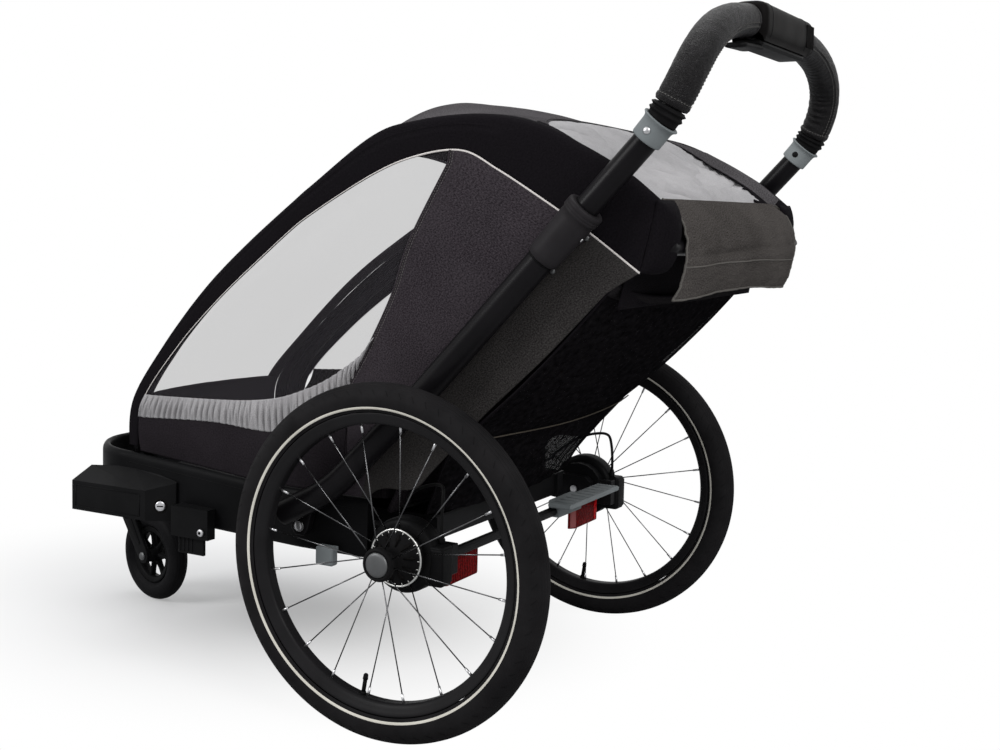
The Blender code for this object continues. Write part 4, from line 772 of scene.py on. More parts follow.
# Arch bands: each wraps the hoop from its inner edge round to the inside
BAND_END_DIR = np.array([0.900, -0.436])
for side, s in SIDES:
    rows = []
    for t in np.linspace(0, 12, 260):
        o, i = smooth_at(OUTER, t), smooth_at(EDGE, t)
        w = np.linalg.norm(i - o)
        d = (i - o) / w
        sunk = 0.0095 * unit((t - 8.6) / 1.4)
        rows.append([on_side(o + d * along, s, -deep) for along, deep in (
            (w + 0.0010, 0.0020), (w - 0.001, -0.0002), (w - 0.006, -0.0008), (w * 0.75, -0.0010),
            (w * 0.5, -0.0012), (w * 0.3, -0.0010), (0.020, -0.0002), (0.0125, 0.0006),
            (0.0070, 0.0026), (0.0030, 0.0062), (0.0008, 0.0110), (-0.0002 + sunk * 0.15, 0.0170),
            (-0.0006 + sunk * 0.4, 0.0250), (-0.0006 + sunk * 0.75, 0.0350), (-0.0002 + sunk, 0.047))])
    g = np.array(rows)
    amp = np.array([0, .3, .7, 1, 1, .8, .5, .4, .4, .4, .4, .5, .6, .4, 0]) * 0.0009
    g[..., 0] += s * wrinkle(g, 14.0, 21.0 * s, (1.0, 0.7, 0.7)) * amp[None, :]
    surface("band_" + side, g, BAND, thick=0.0016, flip=(s > 0))
    # rounded end of the band round the rear of the hoop
    start, end = np.array(OUTER[12]), np.array(EDGE[12])
    reach = 0.031 if s > 0 else 0.022
    rows = []
    for v in np.linspace(0, 1, 48):
        swell = (1 - abs(2 * v - 1) ** 2.8) ** 0.55
        ring = [(turn, start + (end - start) * v + BAND_END_DIR * (reach * swell * sin(turn) ** 0.8))
                for turn in np.linspace(0, pi * 0.94, 30)]
        rows.append([(s * (CAB_X + CLOTH_T / 2 + 0.0010 - 0.031 * (1 - cos(turn))), *p) for turn, p in ring])
    g = np.array(rows)
    g[..., 1] += 0.0012 * wrinkle(g, 22.0, 3.0 * s) * waves(30)[None, :]
    surface("band_end_" + side, g, BAND, thick=0.0014, flip=(s > 0))
    ts = np.linspace(1.0, 12.0, 200)
    tube("band_piping_" + side, on_side([smooth_at(EDGE, t) for t in ts], s, 0.0006),
         [0.0007 + 0.0007 * unit((t - 5.6) / 1.5) for t in ts], PIPING, sides=10)


# Front cover and roof
def crown_point(t, u, lift=0.0):
    """Point of the crowned top; t counts along the outline, u runs across from -1 to 1."""
    o = smooth_at(OUTER, t)
    d = normed(o - smooth_at(INNER, t))
    h = value_at(CROWN, t) * (1 - min(abs(u), 1.0) ** CROWN_POWER) + lift
    return np.array([u * (float(cab(o[0])) - ROOF_EDGE), o[0] + d[0] * h, o[1] + d[1] * h])


def crown_grid(ts, us, lift=lambda t, u: 0.0):
    return np.array([[crown_point(t, u, lift(t, u)) for u in us] for t in ts])


surface("front_window", crown_grid(np.linspace(1.02, 5.20, 70), np.linspace(-0.905, 0.905, 41), lambda t, u:
                                   -0.0010 + 0.0012 * sin(2.2 * t + 3 * u) * (1 - u * u)), FILM)
for name, ta, tb, ua, ub, nt, nu in (("front_low", 0.02, 1.06, -1.0, 1.0, 24, 61),
                                     ("front_head", 5.16, 5.82, -1.0, 1.0, 16, 61),
                                     ("front_edge_left", 1.04, 5.18, 0.90, 1.0, 80, 7),
                                     ("front_edge_right", 1.04, 5.18, -1.0, -0.90, 80, 7)):
    g = crown_grid(np.linspace(ta, tb, nt), np.linspace(ua, ub, nu))
    g[..., 2] += 0.0012 * wrinkle(g, 10.0, 31.0)
    surface(name, g, BAND if name == "front_head" else CHAR, thick=0.0014)
welt = crown_grid(np.linspace(1.04, 5.18, 90), [0.903], lambda t, u: 0.0008)[:, 0, :]
for side, s in SIDES:
    tube("front_welt_" + side, welt * mirror(s), 0.0013, BAND, sides=8)

ROOF_START, ROOF_END = 8.25, 11.80


def window_front(u):
    """Where the roof window starts, counted along the outline."""
    return ROOF_START + 0.72 * min(abs(u), 1.0) ** 2.2


def sink(t):
    """How far the roof lies below the band's outline."""
    return -0.0100 * unit((t - 8.7) / 1.3)


def roof_lift(t, u):
    """Folds of the thin roof window."""
    v = unit((t - window_front(u)) / 0.5) * unit((ROOF_END - 0.02 - t) / 0.3)
    v *= unit((0.985 - abs(u)) / 0.10)
    a = noise.fractal(Vector((u * 2.2 + 0.45 * t, t * 0.80 - 1.2 * u, 7.7)), 0.8, 2.2, 4)
    b = abs(noise.noise(Vector((u * 1.3 + 0.75 * t, t * 0.5 - 1.7 * u, 2.2))))
    return v * (0.0048 * a - 0.0062 * (1 - b) ** 7)


def roof_front_point(t, u):
    t = min(t, window_front(u) + 0.10)
    return crown_point(t, u, sink(t))


def roof_window_point(f, u):
    t = window_front(u) + 0.02 + (ROOF_END - window_front(u) - 0.02) * f
    return crown_point(t, u, roof_lift(t, u) + sink(t) - 0.0008)


g = np.array([[roof_front_point(t, u) for u in np.linspace(-1.0, 1.0, 121)]
              for t in np.linspace(5.70, 9.30, 110)])
g[..., 2] += (0.0013 * wrinkle(g, 7.0, 12.0) * waves(110)[:, None]
              + 0.0022 * np.exp(-np.arange(110) / 6.0)[:, None])
surface("roof_front", g, ROOF_CLOTH, thick=0.0016)
surface("roof_window", np.array([[roof_window_point(a / 189, u) for u in np.linspace(-0.955, 0.990, 180)]
                                 for a in range(190)]), LIGHT, thick=0.0008)
OUT_U = 1.034
for side, s in SIDES:
    rows = []
    for t in np.linspace(8.9, ROOF_END, 240):
        row = []
        for f in np.linspace(0, 1, 15):
            u = OUT_U + ((0.985 if s > 0 else 0.945) - OUT_U) * f
            over = 0.0 if s > 0 else unit((u - 0.955) / 0.030) * unit((t - 8.9) / 0.8)
            row.append(crown_point(t, s * u, (sink(t) + 0.0004) * (1 - over) + 0.0030 * over
                                   + 0.0012 * sin(pi * f)))
        rows.append(row)
    surface("roof_edge_" + side, rows, BAND if s > 0 else ROOF_CLOTH, thick=0.0012, flip=(s > 0))

# ragged dark border on the far side of the roof window, a black sheet painted as the shadow of the edge
# strip; each tongue is (place, depth, width)
SHADOW_TONGUES = ((10.30, 0.100, 0.030), (11.02, 0.085, 0.040), (11.55, 0.130, 0.170))
rows = []
for t in np.linspace(9.05, ROOF_END, 300):
    cut = 0.010 * abs(noise.noise(Vector((t * 4.5, 1.7, 0))))
    cut += 0.007 * max(noise.noise(Vector((t * 10.0, 5.0, 3))), 0.0)
    inner = 0.9455 - (0.004 + 2.6 * cut + 0.030 * unit((t - 9.05) / 2.4) ** 3) / 0.25 * 0.6
    for place, deep, wide in SHADOW_TONGUES:
        inner -= deep * math.exp(-((t - place) / wide) ** 2)
    rows.append([crown_point(t, -u, sink(t) - 0.0002 + 0.0006 * sin(pi * f)) for f, u in
                 zip(np.linspace(0, 1, 8), np.linspace(0.952, inner, 8))])
# black sheet of painted shadow beside the roof window
surface("roof_painted_shadow", rows, BAND, thick=0.0008)
# the cut is as long as its straight seam edge
wide, _, area = CUT["roof_painted_shadow"]
CUT["roof_painted_shadow"] = (wide, float(run_of(np.array(rows)[:, 0])[-1]), area)
tube("roof_seam", [crown_point(window_front(u) + 0.04, u, sink(window_front(u)) + 0.0006)
                   for u in np.linspace(-1, 1, 90)], 0.0010, ROOF_CLOTH, sides=8)

# Rear flap
FLAP = [(0.3385, 0.7530), (0.3620, 0.7310), (0.3725, 0.7080), (0.3745, 0.6850), (0.3720, 0.6640),
        (0.3660, 0.6420), (0.3570, 0.6215)]
FLAP_X = 0.2515


def hem_at(u):
    """Where the flap ends; it hangs a little shorter in the middle."""
    return 6.0 - 0.55 * (1 - u * u)


def flap_fold(t, u):
    w = 0.0016 * noise.fractal(Vector((u * 4.0, t * 1.1, 5.0)), 0.7, 2.0, 4)
    w += 0.0012 * noise.noise(Vector((t * 2.4, 8.0, u))) * abs(u) ** 6
    crease = -0.0050 * math.exp(-((t - 3.05 - 0.25 * u) / 0.32) ** 2)
    crease *= (0.6 + 0.4 * sin(3.1 * u + 0.8)) * (1 - u ** 8)
    return (w + crease + 0.0016 * sin(pi * t / 6) * sin(3 * pi * u + 0.4)) * min(t / 0.5, 1.0)


def flap_point(t, u, out=0.0):
    """Point of the folded flap, or of a seam that lies out from it."""
    p = smooth_at(FLAP, t)
    q = normed(smooth_at(FLAP, min(t + 0.05, 6.0)) - smooth_at(FLAP, max(t - 0.05, 0.0)))
    h = out + flap_fold(t, u) + 0.0075 * (1 - abs(u) ** 5) * sin(pi * min(t / 6, 1.0) * 0.72)
    return np.array([u * FLAP_X, p[0] - q[1] * h, p[1] + q[0] * h])


def flap_seam(name, where, radius):
    tube(name, where, radius, BINDING, sides=10)


us = np.linspace(-1, 1, 120)
surface("flap", np.array([[flap_point(hem_at(u) * a / 99, u) for u in np.linspace(-1, 1, 150)]
                          for a in range(100)]), FLAP_CLOTH, thick=0.0016, offset=1.0)
flap_seam("flap_seam", [flap_point(3.92 - 0.25 * (1 - u * u), u, 0.0019) for u in us], 0.0011)
flap_seam("flap_hem", [flap_point(hem_at(u) - 0.06, u, 0.0012) for u in us], 0.0017)
for side, s in SIDES:
    flap_seam("flap_binding_" + side,
              even([flap_point(t, s * 0.998, 0.0012) for t in np.linspace(0.0, 5.95, 90)], 130), 0.0017)
surface("flap_lining", [[(u * (0.266 + 0.017 * unit((f - 0.45) / 0.2)),
                          0.3250 - 0.0300 * f + 0.0020 * noise.noise(Vector((u * 3.0, f * 1.5, 4.4))),
                          0.7480 - 0.1400 * f) for u in np.linspace(-1, 1, 60)]
                        for f in np.linspace(0, 1, 30)],
        BAND, thick=0.0010)

# Mesh bag: its middle line with the bulge and the half width at each point
BAG = [(0.2780, 0.6215), (0.2260, 0.5620), (0.1620, 0.4960), (0.1030, 0.4420), (0.0620, 0.4060),
       (0.0320, 0.3650), (0.0060, 0.3250), (-0.0100, 0.2920)]
BAG_BULGE = [0.030, 0.031, 0.031, 0.030, 0.029, 0.028, 0.027, 0.026]
BAG_X = [0.2985, 0.2985, 0.2985, 0.2985, 0.2960, 0.2780, 0.2540, 0.2440]


def bag_point(t, u, out=0.0):
    p = smooth_at(BAG, t)
    bulge = value_at(BAG_BULGE, t) * (1 - abs(u) ** 2.2)
    raised = 0.030 * abs(u) ** 4 * max(0.0, 1.0 - t)
    return np.array([u * value_at(BAG_X, t), p[0] + bulge + out + 0.658 * raised,
                     p[1] - 0.10 * bulge - out * 0.35 + 0.753 * raised])


def bag_fold(t, u):
    hold = (1 - abs(u) ** 8) * sin(pi * min(max(t / 7, 0.02), 0.98)) ** 0.4
    return hold * 0.0070 * noise.fractal(Vector(((u * 2.3 - 0.10 * t) * 2.9, 0.30 * t, 8.0)), 0.7, 2.1, 4)


surface("bag", np.array([[bag_point(t, u, bag_fold(t, u)) for u in np.linspace(-1, 1, 160)]
                         for t in np.linspace(0, 7, 130)]), MESH)
tube("bag_hem", [bag_point(0.0, u, 0.0008) for u in us], 0.0022, BAND, sides=10)
surface("bag_hem_band", [[bag_point(t, u, 0.0024 if 0.0 < t < 0.24 else 0.0012) for u in us]
                         for t in (0.0, 0.05, 0.12, 0.20, 0.25)], HEM, thick=0.0010)
tube("bag_pocket_hem", [bag_point(3.15 + 0.35 * min(abs(u) / 0.8, 1.0) ** 3 + 0.60 * (1 - u * u), u, 0.0048)
                        for u in np.linspace(-0.97, 0.97, 120)], 0.0011, POCKET, sides=8)
for side, s in SIDES:
    tube("bag_edge_" + side, [bag_point(t, s, 0.0004) for t in np.linspace(0, 7, 90)], 0.0018, BAND, sides=8)


# Seat
def pad(name, node, corner, along, n_dir, size, crown, channels):
    """Padded panel: one swollen skin with sewn channels over a plainer one."""
    nl, nw = 60, 70
    corner, along, n_dir = pts(corner), pts(along), pts(n_dir)
    length, width, thick = size
    verts, uv = [], []
    for skin in (0, 1):
        for i in range(nl):
            for j in range(nw):
                u, v = -1 + 2 * i / (nl - 1), -1 + 2 * j / (nw - 1)
                edge = (1 - abs(u) ** 7) * (1 - abs(v) ** 7)
                p = corner + along * (length * (u * 0.5 + 0.5)) + np.array([width * v * 0.5, 0, 0])
                if skin == 0:
                    dip = sum(math.exp(-((v - c) / 0.030) ** 2) for c in channels)
                    dip += 0.8 * math.exp(-((u - 0.15) / 0.035) ** 2)
                    lift = thick * 0.5 + crown * (1 - u * u) * (1 - v * v) - 0.0045 * min(dip, 1.0)
                    lift += 0.0008 * noise.noise(Vector((u * 7, v * 7, 2)))
                    verts.append(p + n_dir * (thick * 0.175 + (lift - thick * 0.175) * edge ** 0.8))
                else:
                    verts.append(p - n_dir * (thick * 0.5 * (0.35 + 0.65 * edge)))
                uv.append((width * j / (nw - 1), length * i / (nl - 1)))
    m = nl * nw
    faces = grid_faces(nl, nw) + [tuple(reversed(q)) for q in grid_faces(nl, nw, base=m)]
    rim = [(0, j) for j in range(nw)] + [(i, nw - 1) for i in range(1, nl)]
    rim += [(nl - 1, j) for j in range(nw - 2, -1, -1)] + [(i, 0) for i in range(nl - 2, 0, -1)]
    for k, (i, j) in enumerate(rim):
        p, q = rim[(k + 1) % len(rim)]
        faces.append((i * nw + j, p * nw + q, m + p * nw + q, m + i * nw + j))
    face_outward(piece(name, verts, faces, CHAR, "chassis", uv, (node,)))


FLOOR_TOP, SEAT_T = 0.2873, 0.052
pad("seat_pad", "seat_cushion", (0, -0.370, FLOOR_TOP + 0.0009 + SEAT_T / 2), (0, 1, 0), (0, 0, 1),
    (0.285, 0.47, SEAT_T), 0.010, (0.0,))
back = normed([0, 0.185, 0.385])
pad("back_pad", "seat_back", (0, -0.0710, 0.2895), back, (0, -back[2], back[1]), (0.470, 0.50, 0.022), 0.006,
    (0.0, -0.52, 0.52))


# Chassis band: its outline from above, and its section as (depth, height)
NOSE_X, NOSE_Y, CORNER_Y = 0.140, -0.700, -0.585
corner_r = rim_out(CORNER_Y) - NOSE_X
plan = [(rim_out(y), y) for y in np.linspace(-0.075, CORNER_Y, 60)]
plan += [(NOSE_X + corner_r * cos(a), CORNER_Y + (NOSE_Y - CORNER_Y) * sin(a))
         for a in pi / 2 * np.arange(1, 33) / 32]
plan += [(NOSE_X * (1 - f), NOSE_Y - 0.005 * (1 - (1 - f) ** 2)) for f in np.arange(1, 14) / 13]
plan += [(-x, y) for x, y in reversed(plan[:-1])]
plan = pts(plan)
rows = []
for k, (x, y) in enumerate(plan):
    t = normed(plan[min(k + 1, len(plan) - 1)] - plan[max(k - 1, 0)])
    inward = np.array([t[1], -t[0]])
    if inward.dot([-x, -0.35 - y]) < 0:
        inward = -inward
    top, low = rim_top(y), 0.228
    section = [(0.0, low + 0.007), (0.0, low + 0.030), (0.0, top - 0.040), (0.0, top - 0.014),
               (0.0006, top - 0.0095), (0.0022, top - 0.0055), (0.0045, top - 0.0026), (0.0072, top - 0.0012),
               (0.0100, top - 0.0016), (0.0122, top - 0.0030), (0.0138, top - 0.0060), (0.0140, top - 0.0120),
               (0.0140, low + 0.003), (0.0120, low + 0.0010), (0.0040, low + 0.0008), (0.0012, low + 0.0028)]
    rows.append([(x + inward[0] * depth, y + inward[1] * depth, z) for depth, z in section])
faces = grid_faces(len(plan), 16, False, True) + end_faces(len(plan), 16)
uv = [(j * 0.006, length) for length in run_of(plan) for j in range(16)]
shade_by_angle(face_outward(piece("rim_band", rows, faces, PLAST_SOFT, "chassis", uv, ("chassis_rim",))), 50)
for side, s in SIDES:
    tube("rim_line_" + side, [(s * (rim_out(y) + 0.0002), y, rim_top(y) - 0.017)
                              for y in np.linspace(-0.10, -0.575, 60)], 0.0006, PLAST, "chassis", 8)

dress(["floor_frame", "caster_receiver", "swing_arm_left", "swing_arm_right"], FRAME, 0.0012)
dress(["floor_pan"], PLAST)
dress(["brake_bar"], FRAME)
dress(["suspension_shaft", "fold_pivot_left", "fold_pivot_right", "axle_pin_left", "axle_pin_right"], STEEL,
      0.0004)
dress(["brake_pedal"], GREY, 0.0010)
dress(["suspension_tab_left", "suspension_tab_right"], GREY, 0.0005)
dress(["drawbar_socket"], PLAST, 0.0028, 4, 25.0)
dress(["drawbar_clamp"], PLAST, 0.0022, 3)

# Wheels; a profile is (radius, height towards the outside)
WHEEL_X, TYRE_R, HALF = 0.3785, 0.250, 0.0235
MID = TYRE_R - HALF
RIM_HALF = [(0.1936, 0.0000), (0.1930, 0.0045), (0.1932, 0.0075), (0.1945, 0.0098), (0.1972, 0.0118),
            (0.2005, 0.0132), (0.2040, 0.0150), (0.2072, 0.0166), (0.2090, 0.0170), (0.2098, 0.0163),
            (0.2096, 0.0148), (0.2060, 0.0120), (0.2010, 0.0090), (0.1985, 0.0060)]
HUB = [(0.0184, 0.0170), (0.0188, 0.0184), (0.0200, 0.0186), (0.0216, 0.0182), (0.0230, 0.0168),
       (0.0239, 0.0145), (0.0240, 0.0105), (0.0232, 0.0070), (0.0216, 0.0035), (0.0200, -0.0005),
       (0.0182, -0.0040), (0.0156, -0.0085), (0.0150, -0.020), (0.0170, -0.0255), (0.0240, -0.0295),
       (0.0345, -0.0318), (0.0392, -0.0330), (0.0407, -0.0342), (0.0410, -0.0360), (0.0410, -0.0405),
       (0.0402, -0.0422), (0.0330, -0.0444), (0.0064, -0.0445), (0.0064, -0.0002), (0.0183, -0.0002)]
PRESS_BUTTON = [(0.0, 0.0212), (0.007, 0.0211), (0.0134, 0.0206), (0.0162, 0.0198), (0.0175, 0.0184),
                (0.0180, 0.0168), (0.0180, 0.0055), (0.0036, 0.0048), (0.0036, -0.005), (0.0, -0.005)]
LENS = [(0.1700, 0.0300), (0.2730, 0.0300), (0.2730, 0.0375), (0.2690, 0.0412), (0.1790, 0.0412),
        (0.1700, 0.0340)]
LENS_END = [(0.1700, 0.0345), (0.1790, 0.0412), (0.1790, 0.0418), (0.1700, 0.0352)]
RING_R, RING_H = 0.0411, -0.0337
LOCK_IN, LOCK_OUT = 0.2970, 0.3328


def spoke_dir(a):
    return np.array([0, sin(a), cos(a)])


def round_at(r, a, side=1):
    """Point of the tyre's section at an angle from its tread."""
    return MID + r * cos(a), side * r * sin(a)


def tyre_radius(deg):
    """The section's radius with the tread in the middle and a groove above the rim."""
    r = HALF
    if deg < 46:
        r += 0.0003 - 0.0008 * (0.5 + 0.5 * cos(radians(deg * 360 / 11.5)))
    elif deg < 52:
        r -= 0.0002
    return r - 0.0005 if 124 < deg < 128 else r


def sipe(turn, sd, s, base):
    """Small raised lip on a shoulder of the tyre."""
    d, t = spoke_dir(turn), np.array([0, cos(turn), -sin(turn)])
    ring = []
    for f in (0.0, 0.33, 0.66, 1.0):
        b = radians(sd * (50 + 19 * f))
        out = HALF + 0.0002
        c = base + np.array([s * out * sin(b), 0, 0]) + d * (MID + out * cos(b)) + t * (0.0065 * f)
        nrm = np.array([s * sin(b), 0, 0]) + d * cos(b)
        w = t * 0.00065 * (1.0 - 0.4 * f)
        ring += [c + w - nrm * 0.0003, c + nrm * 0.00035, c - w - nrm * 0.0003]
    return np.array(ring), grid_faces(4, 3)


def spoke_ends(k, s, base):
    """Both ends of a spoke: at the hub and in the rim."""
    a = pi * k / 10 + 0.12
    r0, h0 = (0.0205, 0.0115) if k % 2 else (0.0375, -0.0378)
    lean = 0.055 if (k // 2) % 2 else -0.055
    return (base + spoke_dir(a + lean) * r0 + np.array([s * h0, 0, 0]),
            base + spoke_dir(a) * 0.1934 + np.array([s * (0.0022 if k % 2 else -0.0022), 0, 0]))


for side, s in SIDES:
    body = "wheel_" + side
    base, out = np.array([s * WHEEL_X, 0.0, AXLE_Z]), np.array([s, 0, 0])
    skin = [round_at(tyre_radius(abs(deg)), radians(deg)) for deg in np.linspace(-133, 133, 97)]
    skin += [round_at(HALF - 0.0035, radians(deg)) for deg in (120, 60, 0, -60, -120)]
    lathe("tyre_cover_" + side, skin, 240, base, out, TYRE, body, True, ("tyre_" + side,))
    join_meshes("tyre_sipes_" + side, [sipe(2 * pi * (k + (0.5 if sd > 0 else 0.0)) / 72, sd, s, base)
                                       for k in range(72) for sd in (-1, 1)], RUBBER, body)
    # pale stripe on both side walls
    for k, sd in enumerate((1, -1)):
        pr = [round_at(HALF + 0.0003 - 0.0003 * abs(a - radians(115)) / radians(4.5), a, sd)
              for a in np.linspace(radians(110.5), radians(119.5), 7)]
        lathe("tyre_stripe_%s_%d" % (side, k), pr, 200, base, out, STRIPE, body, False)
    lathe("rim_band_" + side, RIM_HALF + [(r, -h) for r, h in reversed(RIM_HALF[1:])], 240, base, out, RIM,
          body, True, ("rim_" + side,))
    vd = -spoke_dir(radians(9))
    join_meshes("valve_" + side, [rod_data(base + vd * a, base + vd * b, r, 16, r2) for a, b, r, r2 in (
        (0.194, 0.189, 0.0042, 0.0040), (0.190, 0.171, 0.0030, 0.0030), (0.171, 0.1645, 0.0039, 0.0034),
        (0.1645, 0.163, 0.0034, 0.0022))], RUBBER, body)
    lathe("hub_cap_" + side, HUB, 96, base, out, RUBBER, body, True, ("hub_spokes_" + side,))

    # bright edge ring with teeth, and the ribs and bosses of the flange inside it
    parts = [ring_data([(RING_R - 0.0004, RING_H - 0.0012), (RING_R + 0.0004, RING_H - 0.0008),
                        (RING_R + 0.0004, RING_H + 0.0010), (RING_R - 0.0010, RING_H + 0.0016),
                        (RING_R - 0.0026, RING_H + 0.0012)], 120, base, out)]
    for k in range(20):
        d = spoke_dir(2 * pi * k / 20)
        parts.append(rod_data(base - out * 0.0324 + d * (RING_R - 0.0022),
                              base - out * 0.0314 + d * (RING_R - 0.0056), 0.00085, 6, 0.0006))
    join_meshes("flange_ring_" + side, parts, BRIGHT, body)
    parts = []
    for k in range(10):
        d = spoke_dir(2 * pi * (k + 0.3) / 10)
        parts.append(rod_data(base - out * 0.0262 + d * 0.0175, base - out * 0.0312 + d * 0.0350, 0.0016, 8,
                              0.0012))
        parts.append(rod_data(base - out * 0.0330 + d * 0.0285, base - out * 0.0285 + d * 0.0285, 0.0030, 14,
                              0.0026))
    join_meshes("flange_ribs_" + side, parts, PLAST_CONSOLE, body)
    spokes, nipples = [], []
    for k in range(20):
        p0, p1 = spoke_ends(k, s, base)
        t = normed(p1 - p0)
        spokes.append(rod_data(p0, p1 - t * 0.010, 0.00095, 8))
        nipples.append(rod_data(p1 - t * 0.0125, p1 + t * 0.0015, 0.0017, 10, 0.0021))
    join_meshes("spokes_" + side, spokes, SPOKE, body)
    join_meshes("nipples_" + side, nipples, STEEL, body)
    button("button_cap_" + side, PRESS_BUTTON, 72, base, out, ALLOY, "button_" + side,
           ("hub_button_" + side,))

    # lock housing: round body, stepped side box, ribs
    lathe("lock_body_" + side, [(0.0064, LOCK_OUT), (0.030, LOCK_OUT), (0.0445, LOCK_OUT - 0.0002),
                                (0.0485, LOCK_OUT - 0.0012), (0.0515, LOCK_OUT - 0.0034),
                                (0.0535, LOCK_OUT - 0.0066), (0.0540, LOCK_OUT - 0.0100),
                                (0.0540, LOCK_IN + 0.0080), (0.0530, LOCK_IN + 0.0042),
                                (0.0500, LOCK_IN + 0.0008), (0.0470, LOCK_IN), (0.0064, LOCK_IN)], 96,
          (0, 0, AXLE_Z), out, PLAST, "suspension", True, ("lock_housing_" + side,))
    boxes = [box_data((s * 0.3000, 0.012, 0.2125), (s * 0.3310, 0.066, 0.2700), 0.0055, 4),
             box_data((s * 0.3020, 0.046, 0.2165), (s * 0.3316, 0.0672, 0.2660), 0.003, 3)]
    shade_by_angle(join_meshes("lock_box_" + side, boxes, PLAST, "suspension"), 40)
    ribs = [rod_data((s * 0.3050, 0.0585, z), (s * 0.3050, 0.0585, z + 0.0035), 0.0026, 14)
            for z in (0.2150, 0.2670)]
    ribs += [box_data((s * 0.3306, 0.020, z), (s * 0.3320, 0.044, z + 0.0016), 0.0003, 1)
             for z in (0.2295, 0.2415, 0.2535)]
    join_meshes("lock_ribs_" + side, ribs, PLAST_CONSOLE, "suspension")

    # reflector with a paler end, and a facet painted brighter red as a highlight
    lens = prism_data([(s * x, y) for x, y in LENS], "Z", 0.1985, 0.2402, 0.0016, 3)
    shade_by_angle(join_meshes("reflector_lens_" + side, [lens], RED, "suspension", ("reflector_" + side,)),
                   35)
    facet = box_data((s * 0.2560, 0.0398, 0.2010), (s * 0.2680, 0.0416, 0.2378), 0.0005, 2)
    join_meshes("reflector_painted_glint_" + side, [facet], RED_PAINTED_GLINT, "suspension")
    end = prism_data([(s * x, y) for x, y in LENS_END], "Z", 0.2005, 0.2382, 0.0003, 1)
    join_meshes("reflector_end_" + side, [end], RED_PALE, "suspension")

# Drawbar socket and clamp bracket
LOW_Z, HIGH_Z, FRONT_Y, BACK_Y = 0.2365, 0.2725, -0.652, -0.512
edges = [((y0, z0), (y1, z1)) for y0, z0, y1, z1 in (
    (FRONT_Y, LOW_Z, BACK_Y, LOW_Z), (FRONT_Y, HIGH_Z, BACK_Y, HIGH_Z), (FRONT_Y, LOW_Z, FRONT_Y, HIGH_Z),
    (BACK_Y, LOW_Z, BACK_Y, HIGH_Z))]
join_meshes("socket_bead", [rod_data((0.3022, *a), (0.3022, *b), 0.0009, 8) for a, b in edges], PLAST,
            "chassis")
face_dir = normed([0.0425, 0.0260, 0.0])
face_mid = np.array([0.2890, -0.47875, 0.2545])
button("socket_disc", [(0.0, 0.0025), (0.0062, 0.0024), (0.0078, 0.0018), (0.0084, 0.0006), (0.0086, -0.0045),
                       (0.0, -0.0045)], 48, face_mid, face_dir, STEEL, "socket_button", ("drawbar_button",))
lathe("socket_collar", [(0.0098, 0.0004), (0.0116, 0.0004), (0.0122, -0.0002), (0.0122, -0.0012),
                        (0.0098, -0.0012)],
      48, face_mid, face_dir, PLAST_CONSOLE, "chassis")
half_slot = np.cross(face_dir, [0, 0, 1.0]) * 0.0050
on_disc = face_mid + face_dir * 0.0023
join_meshes("socket_slot", [rod_data(on_disc - half_slot, on_disc + half_slot, 0.0011, 8)], PLAST,
            "socket_button")
tube("socket_clip", [(0.2870 + 0.0045 * cos(a), -0.545 + 0.011 * sin(a), 0.2268 + 0.0012 * sin(a * 2))
                     for a in np.linspace(0, 2 * pi, 40)], 0.0011, PLAST, "chassis", 8, False)
SCREW_AT = (0.3045, -0.384, 0.226)
button("clamp_screw", [(0.0, 0.0022), (0.0032, 0.0021), (0.0052, 0.0016), (0.0060, 0.0004), (0.0060, -0.002),
                       (0.0, -0.002)], 40, SCREW_AT, (1, 0, 0), STEEL, "chassis")
button("clamp_screw_hex", [(0.0, 0.0026), (0.0026, 0.0026), (0.0028, 0.0015), (0.0, 0.0015)], 6, SCREW_AT,
       (1, 0, 0), PLAST, "chassis")
join_meshes("clamp_ribs", [box_data((0.2930, y - 0.0011, 0.190), (0.2941, y + 0.0011, 0.214), 0.0003, 1)
                           for y in (-0.433, -0.425, -0.417, -0.409)], PLAST, "chassis")

# Caster, turned about its swivel axis
SWIVEL_Y, TURN = -0.782, radians(-13)
CASTER_R, CASTER_TYRE_R, TRAIL = 0.0853, 0.0185, 0.0545
FORK_IN, FORK_T = 0.0225, 0.008
LEG = [(-0.022, 0.183), (0.008, 0.183), (0.018, 0.167), (0.0660, 0.094), (0.0690, 0.085), (0.0660, 0.076),
       (0.0580, 0.0715), (0.0490, 0.0720), (0.0420, 0.078), (-0.021, 0.160)]
LEG_FIELD = [(-0.010, 0.172), (0.004, 0.172), (0.046, 0.108), (0.040, 0.104), (-0.010, 0.158)]


def turned(data):
    """A mesh beside the swivel axis turned with the fork."""
    v = pts(data[0]).reshape(-1, 3)
    x, y = v[:, 0] * cos(TURN) - v[:, 1] * sin(TURN), v[:, 0] * sin(TURN) + v[:, 1] * cos(TURN)
    return np.stack([x, y + SWIVEL_Y, v[:, 2]], axis=1), data[1]


